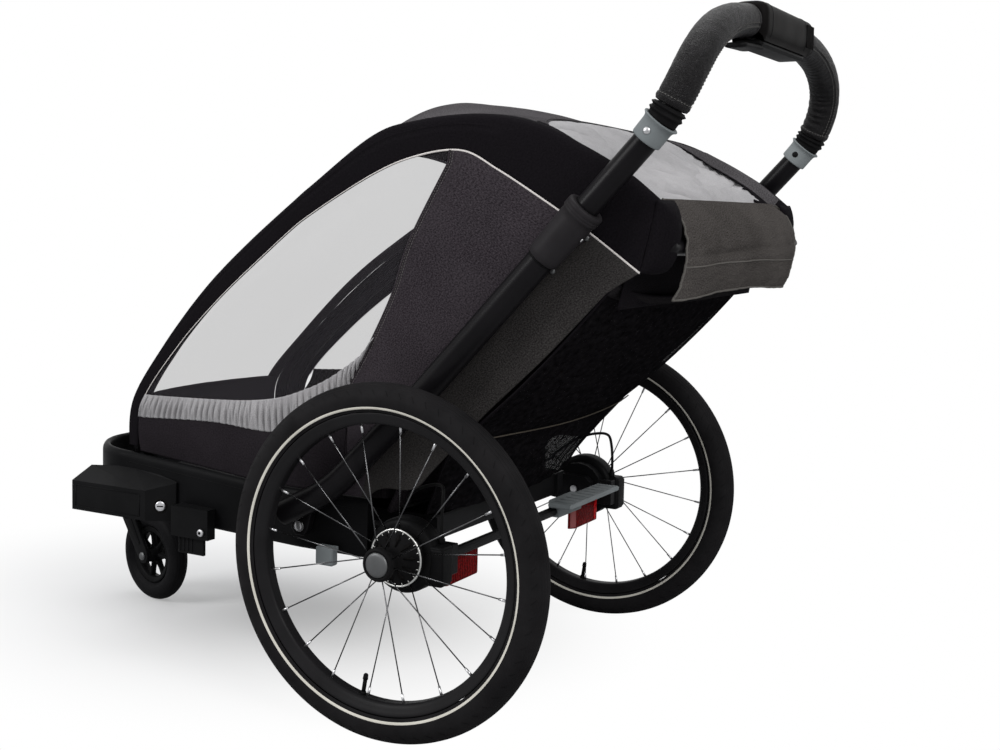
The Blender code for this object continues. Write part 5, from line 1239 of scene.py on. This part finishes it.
parts = []
for s in (1, -1):
    parts.append(prism_data(LEG, "X", s * FORK_IN, s * (FORK_IN + FORK_T), 0.0022, 3))
    parts.append(prism_data(LEG_FIELD, "X", s * (FORK_IN + FORK_T - 0.0004), s * (FORK_IN + FORK_T + 0.0010),
                            0.0005, 2))
parts.append(box_data((-FORK_IN - 0.004, -0.021, 0.1670), (FORK_IN + 0.004, 0.0135, 0.1857), 0.0030, 3))
parts.append(rod_data((0, 0, 0.173), (0, 0, 0.245), 0.009, 32))
shade_by_angle(join_meshes("fork_body", [turned(p) for p in parts], PLAST, "caster", ("caster_fork",)), 40)
out_x = np.array([cos(TURN), sin(TURN), 0.0])
hub = turned(([(0.0, TRAIL, CASTER_R)], None))[0][0]
for k, s in enumerate((1, -1)):
    button("axle_cap_%d" % k, [(0.0, 0.0035), (0.0045, 0.0033), (0.0068, 0.0024), (0.0078, 0.0008),
                               (0.0078, 0.0), (0.0, 0.0)], 48, hub + out_x * s * (FORK_IN + FORK_T + 0.0004),
           out_x * s, ALLOY, "caster", () if k else ("caster_axle",))
well_r = CASTER_R - 2 * CASTER_TYRE_R
skin = []
for deg in np.linspace(-112, 112, 57):
    r = min(CASTER_TYRE_R * (1 + 0.010 * cos(radians(deg * 2))), CASTER_TYRE_R)
    if abs(deg) < 34:
        r -= 0.0004 * (0.5 + 0.5 * cos(radians(deg * 360 / 17)))
    skin.append((CASTER_R - CASTER_TYRE_R + r * cos(radians(deg)), r * sin(radians(deg)) * 1.02))
skin += [(well_r + r, h) for r, h in ((0.0040, 0.0085), (0.0005, 0.0055), (0.0005, -0.0055),
                                      (0.0040, -0.0085))]
lathe("caster_tyre_cover", skin, 160, hub, out_x, CASTER_TYRE, "caster_roll", True, ("caster_tyre",))
parts = []
for steps, half in ((120, [(0.0420, 0.0090), (0.0450, 0.0104), (well_r + 0.0010, 0.0122),
                           (well_r + 0.0042, 0.0122), (well_r + 0.0048, 0.0108), (well_r - 0.0005, 0.0062)]),
                    (64, [(0.0043, 0.0215), (0.0105, 0.0215), (0.0125, 0.0200), (0.0135, 0.0100),
                          (0.0150, 0.0050)])):
    parts.append(ring_data(half + [(r, -h) for r, h in reversed(half)], steps, hub, out_x))
_, across, up = axis_frame(out_x)
for k in range(7):
    a = 2 * pi * k / 7 + 0.2
    d, w = across * cos(a) + up * sin(a), -across * sin(a) + up * cos(a)
    rows = []
    for f in np.linspace(0, 1, 9):
        half, deep = 0.0052 - 0.0016 * sin(pi * f), 0.0075 - 0.0015 * sin(pi * f)
        rows.append([hub + d * (0.0120 + 0.0325 * f) + w * half * cos(b) + out_x * deep * sin(b)
                     for b in np.linspace(0, 2 * pi, 16, endpoint=False)])
    parts.append((rows, grid_faces(9, 16, False, True)))
join_meshes("caster_rim", parts, PLAST, "caster_roll", ("caster_wheel",))

# Push frame
PIVOT_Y, PIVOT_Z = -0.185, 0.266
PUSH_DIR = normed([0.0, 0.676, 0.737])
LUG = [(-0.2000, 0.2620), (-0.1920, 0.2520), (-0.1780, 0.2520), (-0.1700, 0.2620), (-0.1600, 0.3000),
       (-0.1800, 0.3020), (-0.2020, 0.2900)]
CLAMP = [(0.0175, 0.0060), (0.0235, 0.0060), (0.0250, 0.0054), (0.0261, 0.0040), (0.0265, 0.0022),
         (0.0265, -0.0002), (0.0260, -0.0010), (0.0260, -0.0018), (0.0265, -0.0026), (0.0265, -0.0042),
         (0.0260, -0.0050), (0.0260, -0.0058), (0.0264, -0.0066), (0.0264, -0.0078), (0.0258, -0.0092),
         (0.0247, -0.0104), (0.0246, -0.0180), (0.0240, -0.0400), (0.0228, -0.0760), (0.0222, -0.0838),
         (0.0210, -0.0850), (0.0197, -0.0850), (0.0197, 0.0004), (0.0175, 0.0004)]


def on_tube(u, s):
    """Point of the push tube's axis, counted from its top end."""
    return np.array([s * TUBE_X, 0.2655, 0.737]) + PUSH_DIR * u


for side, s in SIDES:
    path = list(round_path([(s * TUBE_X, y, z) for y, z in TUBE_FOOT] + [on_tube(-0.36, s)], 60))
    path += [on_tube(q, s) for q in np.linspace(-0.35, 0.0, 24)]
    tube("push_tube_body_" + side, path, TUBE_R, TUBE, "push_frame", 48, True, ("push_tube_" + side,))
    lug = prism_data(LUG, "X", s * 0.3055, s * 0.3182, 0.0020, 3)
    shade_by_angle(join_meshes("push_lug_" + side, [lug], TUBE, "push_frame"), 40)
    step = path[1] - path[0]
    tube("push_tube_plug_" + side, [path[0] - step * 0.2, path[0] + step * 0.1], TUBE_R - 0.0012, PLAST,
         "push_frame", 40)
    lathe("clamp_body_" + side, CLAMP, 80, on_tube(0, s), PUSH_DIR, PLAST_CLAMP, "push_frame", True,
          ("tube_clamp_" + side,))
    rear = np.array([0.0, PUSH_DIR[2], -PUSH_DIR[1]])
    screw = rod_data(on_tube(-0.030, s) + rear * 0.0235, on_tube(-0.030, s) + rear * 0.0252, 0.0032, 20,
                     0.0028)
    join_meshes("clamp_screw_" + side, [screw], STEEL, "push_frame")
    low_ring = ring_data([(0.0190, 0.0), (0.0196, 0.0), (0.0196, 0.0030), (0.0190, 0.0030)], 48,
                         on_tube(-0.0885, s), PUSH_DIR)
    join_meshes("tube_band_" + side, [low_ring], PLAST, "push_frame")

# Handlebar: two legs and a bow that rises as it crosses to the middle
BOW_H, BOW_N, BOW_STEPS = 0.1743, 3.117, 60
BOW_A0, BOW_A1 = radians(50.6), radians(96.4)


def bow_half(n):
    y, z = 0.3541, 0.8336
    rise = [(y, z)]
    for k in range(BOW_STEPS):
        a = BOW_A0 + (BOW_A1 - BOW_A0) * (k + 0.5) / BOW_STEPS
        y += cos(a) * BOW_H / BOW_STEPS
        z += sin(a) * BOW_H / BOW_STEPS
        rise.append((y, z))
    rise = pts(rise)
    half = []
    for th in pi / 2 * np.arange(n + 1) / n:
        f = min(sin(th) ** (2 / BOW_N) * BOW_STEPS, BOW_STEPS - 1e-6)
        y, z = rise[int(f)] + (rise[int(f) + 1] - rise[int(f)]) * (f - int(f))
        half.append(np.array([TUBE_X * max(cos(th), 0.0) ** (2 / BOW_N), y, z]))
    return half


half = [on_tube(u, 1) for u in (-LEG_IN, -0.02, 0.060, 0.110)] + bow_half(240)[1:]
full = np.array(half + [p * mirror(-1) for p in reversed(half[:-1])])
bar_run = run_of(full)
TOTAL = bar_run[-1]


def bar_at(q):
    return at_length(q, bar_run, full)


tube("handlebar_body", [bar_at(q) for q in np.linspace(0, TOTAL, 420)], LEG_R, TUBE, "handlebar", 48, True,
     ("handlebar_tube",))
COLLAR = [(0.0174, -0.0170), (0.0192, -0.0170), (0.0203, -0.0164), (0.0207, -0.0148), (0.0208, -0.0040),
          (0.0209, 0.0050), (0.0214, 0.0085), (0.0228, 0.0108), (0.0243, 0.0119), (0.0250, 0.0127),
          (0.0250, 0.0136), (0.0244, 0.0141), (0.0174, 0.0138)]
RIVET = [(0.0, 0.0020), (0.0024, 0.0019), (0.0040, 0.0013), (0.0048, 0.0003), (0.0048, -0.0010),
         (0.0, -0.0010)]
S_COLLAR = LEG_IN + 0.108
S_RING = (LEG_IN + 0.1495, LEG_IN + 0.1697)
S_GRIP = (LEG_IN + 0.1705, TOTAL / 2 - 0.120 - 0.0060)
GRIP_R, GRIP_STEPS, GRIP_SIDES = 0.0235, 260, 72
GATHER_PITCH = 0.0125


def grip(side, s):
    """Leather grip with rolled ends, gathers inside the bend and a sewn seam."""
    q = np.linspace(*S_GRIP, GRIP_STEPS)
    line, t, us, ws = frames_along([bar_at(k) * mirror(s) for k in q])
    rr = np.zeros((GRIP_STEPS, GRIP_SIDES))
    seam_to = np.array([-0.55 * s, 0.80, -0.20])
    seam_dirs = np.array([normed(seam_to - v * seam_to.dot(v)) for v in t])
    turn = np.gradient(t, axis=0)
    curv = np.linalg.norm(turn, axis=1)
    inner_dir = turn / (curv[:, None] + 1e-9)
    curv = curv / curv.max()
    for i, f in enumerate(np.linspace(0, 1, GRIP_STEPS)):
        ends = min(f, 1 - f) * (S_GRIP[1] - S_GRIP[0])
        roll = 0.0022 * (1 - min(ends / 0.0045, 1.0) ** 0.5)
        rim = (0.0007 * math.exp(-((ends - 0.0065) / 0.0022) ** 2)
               - 0.0006 * math.exp(-((ends - 0.0115) / 0.0013) ** 2))
        gather = 0.0010 * curv[i] * sin(q[i] * 2 * pi / GATHER_PITCH
                                        + 2.0 * noise.noise(Vector((q[i] * 40, 0, s))))
        for j in range(GRIP_SIDES):
            d = us[i] * cos(2 * pi * j / GRIP_SIDES) + ws[i] * sin(2 * pi * j / GRIP_SIDES)
            inside = max(d.dot(inner_dir[i]), 0.0)
            off = math.acos(max(-1.0, min(1.0, d.dot(seam_dirs[i])))) * GRIP_R
            seam = (-0.0009 * math.exp(-(off / 0.0012) ** 2)
                    + 0.0003 * math.exp(-((off - 0.0030) / 0.0020) ** 2))
            grain = 0.00035 * noise.fractal(Vector(line[i] * 60 + d * 2), 0.7, 2.0, 3)
            rr[i, j] = GRIP_R - 0.0006 - roll + rim + gather * inside ** 2 + seam + grain
    rr[0] = rr[-1] = LEG_R + 0.0012
    tube("grip_body_" + side, line, rr, LEATHER, "handlebar", GRIP_SIDES, True, ("grip_" + side,))
    seam_line = line + seam_dirs * (GRIP_R - 0.0004)
    stitches("grip_stitch_" + side, seam_line[8:-8], seam_dirs[8:-8], 0.0050, 0.0030, 0.0008, "handlebar",
             ((-0.0028, 0.0), (0.0028, 0.0)), 0.0002)
    d = np.array([us[9] * cos(a) + ws[9] * sin(a) for a in 2 * pi * np.arange(61) / 60])
    stitches("grip_hem_%s_0" % side, line[9] + d * (GRIP_R - 0.0004), d, 0.0046, 0.0028, 0.0008, "handlebar",
             lift=0.0002)


for side, s in SIDES:
    low, high = bar_at(S_COLLAR) * mirror(s), bar_at(S_RING[0]) * mirror(s)
    axis = normed(high - low)
    c = low + axis * 0.028
    lathe("collar_body_" + side, COLLAR, 72, c, axis, GREY, "handlebar", True, ("collar_" + side,))
    for k, sd in enumerate((1, -1)):
        out = np.array([float(sd), 0, 0])
        button("collar_rivet_%s_%d" % (side, k), RIVET, 40, c - axis * 0.003 + out * 0.0205, out,
               STEEL if sd == s else PLAST, "handlebar")
    # ring with two ridges
    f = np.linspace(0, 1, 80)
    rad = 0.0205 + 0.0030 * np.exp(-((f - 0.50) / 0.12) ** 2) + 0.0036 * np.exp(-((f - 0.84) / 0.10) ** 2)
    rad[0] = rad[-1] = 0.0186
    tube("ring_body_" + side, [bar_at(q) * mirror(s) for q in np.linspace(*S_RING, 80)], rad, RUBBER,
         "handlebar", 56, True, ("stop_ring_" + side,))
    grip(side, s)

# Console and lever
CONSOLE_X, CONSOLE_N = 0.120, 3.4
mid_bar = bar_at(TOTAL / 2)


def loop(c, si, width, up_h, low_h):
    """Point of a squarish loop about the bar."""
    return (width * signed_power(c, 2 / CONSOLE_N),
            (up_h if si > 0 else low_h) * signed_power(si, 2 / CONSOLE_N))


rows = []
for x in np.linspace(-CONSOLE_X, CONSOLE_X, 61):
    end = CONSOLE_X - abs(x)
    shrink = 1.0 if end > 0.012 else 0.70 + 0.30 * (1 - (1 - end / 0.012) ** 2.4) ** 0.5
    row = []
    for a in np.linspace(0, 2 * pi, 64, endpoint=False):
        y, z = loop(cos(a), sin(a), 0.0272, 0.0262, 0.0286)
        y, z = y * shrink, z * shrink
        if z < 0 and x > -0.0975:
            # a pocket with a lip on both sides, into which the lever rises
            if abs(y) < 0.0200:
                z = max(z, -0.0182)
            elif abs(y) < 0.0226 and shrink > 0.98:
                z = -0.0278
        row.append((x, mid_bar[1] + y, mid_bar[2] + z))
    rows.append(row)
uv = [(2 * CONSOLE_X * i / 60, 0.17 * j / 64) for i in range(61) for j in range(64)]
con = piece("console_body", rows, grid_faces(61, 64, False, True) + end_faces(61, 64), PLAST_CONSOLE,
            "handlebar", uv, ("console",))
shade_by_angle(face_outward(con), 50)
join_meshes("console_ribs", [box_data(mid_bar + (x - 0.0012, 0.0262, -0.017),
                                      mid_bar + (x + 0.0012, 0.0282, 0.016), 0.0006, 2)
                             for x in -0.112 + 0.0065 * np.arange(6)], PLAST_CONSOLE, "handlebar")
ring = [(0.0, *loop(cos(a), sin(a), 0.0266, 0.0258, 0.0280))
        for a in np.linspace(radians(-46), radians(226), 80)]
for k, x in enumerate((-0.076, 0.092)):
    tube("console_joint_%d" % k, np.array(ring) * 1.012 + mid_bar + (x, 0, 0), 0.0007, PLAST, "handlebar", 8)
TONGUE_L = 0.0720
rows = []
for f in np.linspace(0, 1, 28):
    z = -0.0358 - 0.0030 * (f ** 1.15)
    end = (1 - f) * TONGUE_L
    tip = 1.0 if end >= 0.010 else 0.45 + 0.55 * (1 - (1 - end / 0.010) ** 2) ** 0.5
    hy, hz = (0.0170 - 0.0022 * f) * tip, (0.0042 - 0.0002 * f) * tip
    rows.append([mid_bar + (0.1000 + TONGUE_L * f, hy * signed_power(cos(a), 0.6),
                            z + hz * signed_power(sin(a), 0.6))
                 for a in np.linspace(0, 2 * pi, 36, endpoint=False)])
parts = [box_data(mid_bar + (-0.0960, -0.0195, -0.0350), mid_bar + (0.1120, 0.0195, -0.0255), 0.0060, 4),
         (rows, grid_faces(28, 36, False, True) + end_faces(28, 36))]
shade_by_angle(face_outward(join_meshes("lever_body", parts, PLAST, "lever", ("height_lever",))), 45)

# Brake pedal, cable, pivots
BAR_Y, BAR_Z = 0.050, AXLE_Z - 0.0005
join_meshes("pedal_ribs", [box_data((x - 0.0015, BAR_Y + 0.012, BAR_Z + 0.0212),
                                    (x + 0.0015, BAR_Y + 0.044, BAR_Z + 0.0224),
                                    0.0005, 1) for x in -0.215 + 0.021 * np.arange(9)], GREY, "brake")
LEAD = [(0.3075, 0.052, 0.0204), (0.3080, 0.052, 0.0350), (0.3075, 0.052, 0.0550), (0.3055, 0.051, 0.075),
        (0.3000, 0.049, 0.0920), (0.2930, 0.043, 0.0980), (0.2870, 0.031, 0.0980),
        (0.2830, 0.014, 0.0940), (0.2790, -0.008, 0.0840), (0.2700, -0.026, 0.0700),
        (0.2500, -0.036, 0.0580), (0.2200, -0.040, 0.0510)]
FERRULE = [(0.0, -0.0010), (0.0048, -0.0010), (0.0050, 0.0015), (0.0050, 0.0060), (0.0040, 0.0075),
           (0.0036, 0.0110), (0.0030, 0.0125), (0.0, 0.0125)]
PIVOT_CAP = [(0.0, 0.0026), (0.0040, 0.0025), (0.0070, 0.0019), (0.0084, 0.0006), (0.0085, -0.0004),
             (0.0, -0.0004)]
BOLT = [(0.0, 0.0030), (0.0030, 0.0030), (0.0036, 0.0024), (0.0036, 0.0), (0.0, 0.0)]
lead = pts(LEAD) + (0, 0, AXLE_Z)
tube("cable_body", round_path([*lead, *(lead[::-1] * mirror(-1))], 220), 0.0024, CABLE, "suspension", 16,
     True, ("brake_cable",))
for side, s in SIDES:
    a, b = lead[0] * mirror(s), lead[1] * mirror(s)
    button("cable_ferrule_" + side, FERRULE, 32, a, b - a, PLAST, "suspension")
    button("pivot_cap_" + side, PIVOT_CAP, 48, (s * 0.3185, PIVOT_Y, PIVOT_Z), (s, 0, 0), STEEL, "chassis")
    button("lock_bolt_" + side, BOLT, 6, (s * 0.3150, 0.0600, 0.2430), (0, 1, 0), STEEL, "suspension")

# Hoop under the cloth, and the bow across its top
ARCH_R, ARCH_IN, ARCH_DEPTH = 0.011, 0.0190, 0.0175
hoop_side = []
for k in range(13):
    o = smooth_at(OUTER, k)
    p = o + normed(smooth_at(INNER, k) - o) * ARCH_IN
    hoop_side.append((float(cab(p[0])) - ARCH_DEPTH, p[0], p[1]))
x, y, z = hoop_side[-1]
hoop_side = [(hoop_side[0][0], -0.5805, 0.3235)] + hoop_side
hoop_side += [(x - dx, y + dy, z - dz) for dx, dy, dz in ((0.002, 0.010, 0.020), (0.016, 0.0155, 0.036),
                                                         (0.045, 0.0168, 0.044))]
tube("hoop_body", round_path(hoop_side + [(-x, y, z) for x, y, z in reversed(hoop_side)], 260), ARCH_R, TUBE,
     "hoop", 28,
     True, ("hoop_frame",))
BOW_T = 6.02
bow_o = smooth_at(OUTER, BOW_T)
bow_up = normed(bow_o - smooth_at(INNER, BOW_T))
bow_half_width = float(cab(bow_o[0]))
bow_line = []
for k in range(13):
    u = -0.93 + 1.86 * k / 12
    h = value_at(CROWN, BOW_T) * (1 - abs(u) ** CROWN_POWER) - 0.0098 - 0.006 * abs(u) ** 6
    bow_line.append((u * (bow_half_width - ROOF_EDGE), *(bow_o + bow_up * h)))
bow_end = bow_half_width - ARCH_DEPTH - ARCH_R - 0.0018
bow_line = [(-bow_end, *(bow_o - bow_up * ARCH_IN))] + bow_line + [(bow_end, *(bow_o - bow_up * ARCH_IN))]
tube("bow_body", round_path(bow_line, 120), 0.007, TUBE, "hoop", 24, True, ("canopy_bow",))


# How the cloth hangs
def hang(names, node, rides):
    """Ride each piece with the hoop or bake it in place, and hide the node it stands for."""
    for n in names:
        ob = bpy.data.objects[n]
        if rides:
            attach(ob, "hoop")
        else:
            bend(ob)
        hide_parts(node)


for side, s in SIDES:
    hang([n + side for n in ("window_", "side_panel_", "rear_panel_", "low_panel_")], "side_cover_" + side,
         False)
    hang(["strip_" + side], "side_cover_" + side, False)
    hang(["band_" + side, "band_end_" + side], "arch_band_" + side, True)
    for n in ("panel_hem_", "hem_stitch_", "front_welt_", "bag_edge_"):
        bend(bpy.data.objects[n + side])
    for n in ("band_piping_", "flap_binding_"):
        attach(bpy.data.objects[n + side], "hoop")
hang(["front_window", "front_low", "front_head", "front_edge_left", "front_edge_right"], "front_cover",
     False)
hang(["roof_front", "roof_window", "roof_edge_left", "roof_edge_right", "roof_painted_shadow"], "canopy_roof",
     True)
hang(["flap", "flap_lining"], "rear_flap", True)
hang(["bag", "bag_hem_band"], "mesh_bag", False)
for n in ("roof_seam", "flap_seam", "flap_hem"):
    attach(bpy.data.objects[n], "hoop")
for n in ("bag_hem", "bag_pocket_hem"):
    bend(bpy.data.objects[n])


# Floor, world and lights
def empty_tree(owner):
    owner.use_nodes = True
    owner.node_tree.nodes.clear()
    return owner.node_tree


def largest(tree, *values):
    """The largest of several factors."""
    v = values[0]
    for other in values[1:]:
        v = add_node(tree, "ShaderNodeMath", {0: v, 1: other}, operation="MAXIMUM").outputs[0]
    return v


def finish_tree(tree, kind, fac, one, two):
    """Mix two shaders into the tree's output."""
    mix = add_node(tree, "ShaderNodeMixShader", {"Fac": fac, 1: one.outputs[0], 2: two.outputs[0]})
    add_node(tree, kind, {"Surface": mix.outputs[0]})


# the floor glows white to the camera away from the trailer and takes its shadow near it
floor_mat = bpy.data.materials.new("studio_floor")
nt = empty_tree(floor_mat)
place = add_node(nt, "ShaderNodeMapping", {"Location": (0.08, 0.357, 0), "Scale": (1.0, 0.85, 1),
                                           "Vector": add_node(nt, "ShaderNodeTexCoord").outputs["Object"]})
away = add_node(nt, "ShaderNodeVectorMath", {0: place.outputs["Vector"]}, operation="LENGTH")
fall = add_node(nt, "ShaderNodeMapRange", {"From Min": 0.05, "From Max": 0.70, "To Min": 0.30,
                                           "Value": away.outputs["Value"]}, interpolation_type="SMOOTHSTEP")
ray = add_node(nt, "ShaderNodeLightPath").outputs
seen = largest(nt, ray["Is Camera Ray"], ray["Is Transmission Ray"])
glow = add_node(nt, "ShaderNodeMath", {0: seen, 1: fall.outputs["Result"]}, operation="MULTIPLY").outputs[0]
finish_tree(nt, "ShaderNodeOutputMaterial", glow,
            add_node(nt, "ShaderNodeBsdfDiffuse", {"Color": (0.50, 0.50, 0.505, 1)}),
            add_node(nt, "ShaderNodeEmission", {"Color": (1, 1, 1, 1), "Strength": 1.0}))
me = bpy.data.meshes.new("studio_floor")
FLOOR_HALF = 30.0
me.from_pydata([(x * FLOOR_HALF, y * FLOOR_HALF, 0) for x, y in ((-1, -1), (1, -1), (1, 1), (-1, 1))], [],
               [(0, 1, 2, 3)])
me.materials.append(floor_mat)
floor = bpy.data.objects.new("studio_floor", me)
floor.location.z = -0.0002
bpy.context.scene.collection.objects.link(floor)

world = bpy.data.worlds.new("studio")
bpy.context.scene.world = world
nt = empty_tree(world)
ray = add_node(nt, "ShaderNodeLightPath").outputs
finish_tree(nt, "ShaderNodeOutputWorld",
            largest(nt, ray["Is Camera Ray"], ray["Is Glossy Ray"], ray["Is Transmission Ray"]),
            add_node(nt, "ShaderNodeBackground", {"Color": (0.96, 0.98, 1.0, 1), "Strength": 0.62}),
            add_node(nt, "ShaderNodeBackground", {"Color": (1, 1, 1, 1), "Strength": 1.0}))
for name, at, look, size, power in (("key", (2.4, -1.7, 2.0), (0, 0.1, 0.5), (1.3, 1.1), 74.0),
                                    ("fill", (1.8, 2.8, 2.4), (0, 0.1, 0.5), (1.8, 1.4), 84.0),
                                    ("top", (-0.6, 0.2, 3.4), (0, 0.1, 0.4), (2.8, 2.8), 60.0)):
    data = bpy.data.lights.new(name, "AREA")
    data.shape, data.size, data.size_y, data.energy = "RECTANGLE", *size, power
    ob = bpy.data.objects.new(name, data)
    ob.location = at
    ob.rotation_euler = (Vector(look) - Vector(at)).to_track_quat("-Z", "Y").to_euler()
    bpy.context.scene.collection.objects.link(ob)

bpy.context.scene.view_settings.view_transform = "Standard"
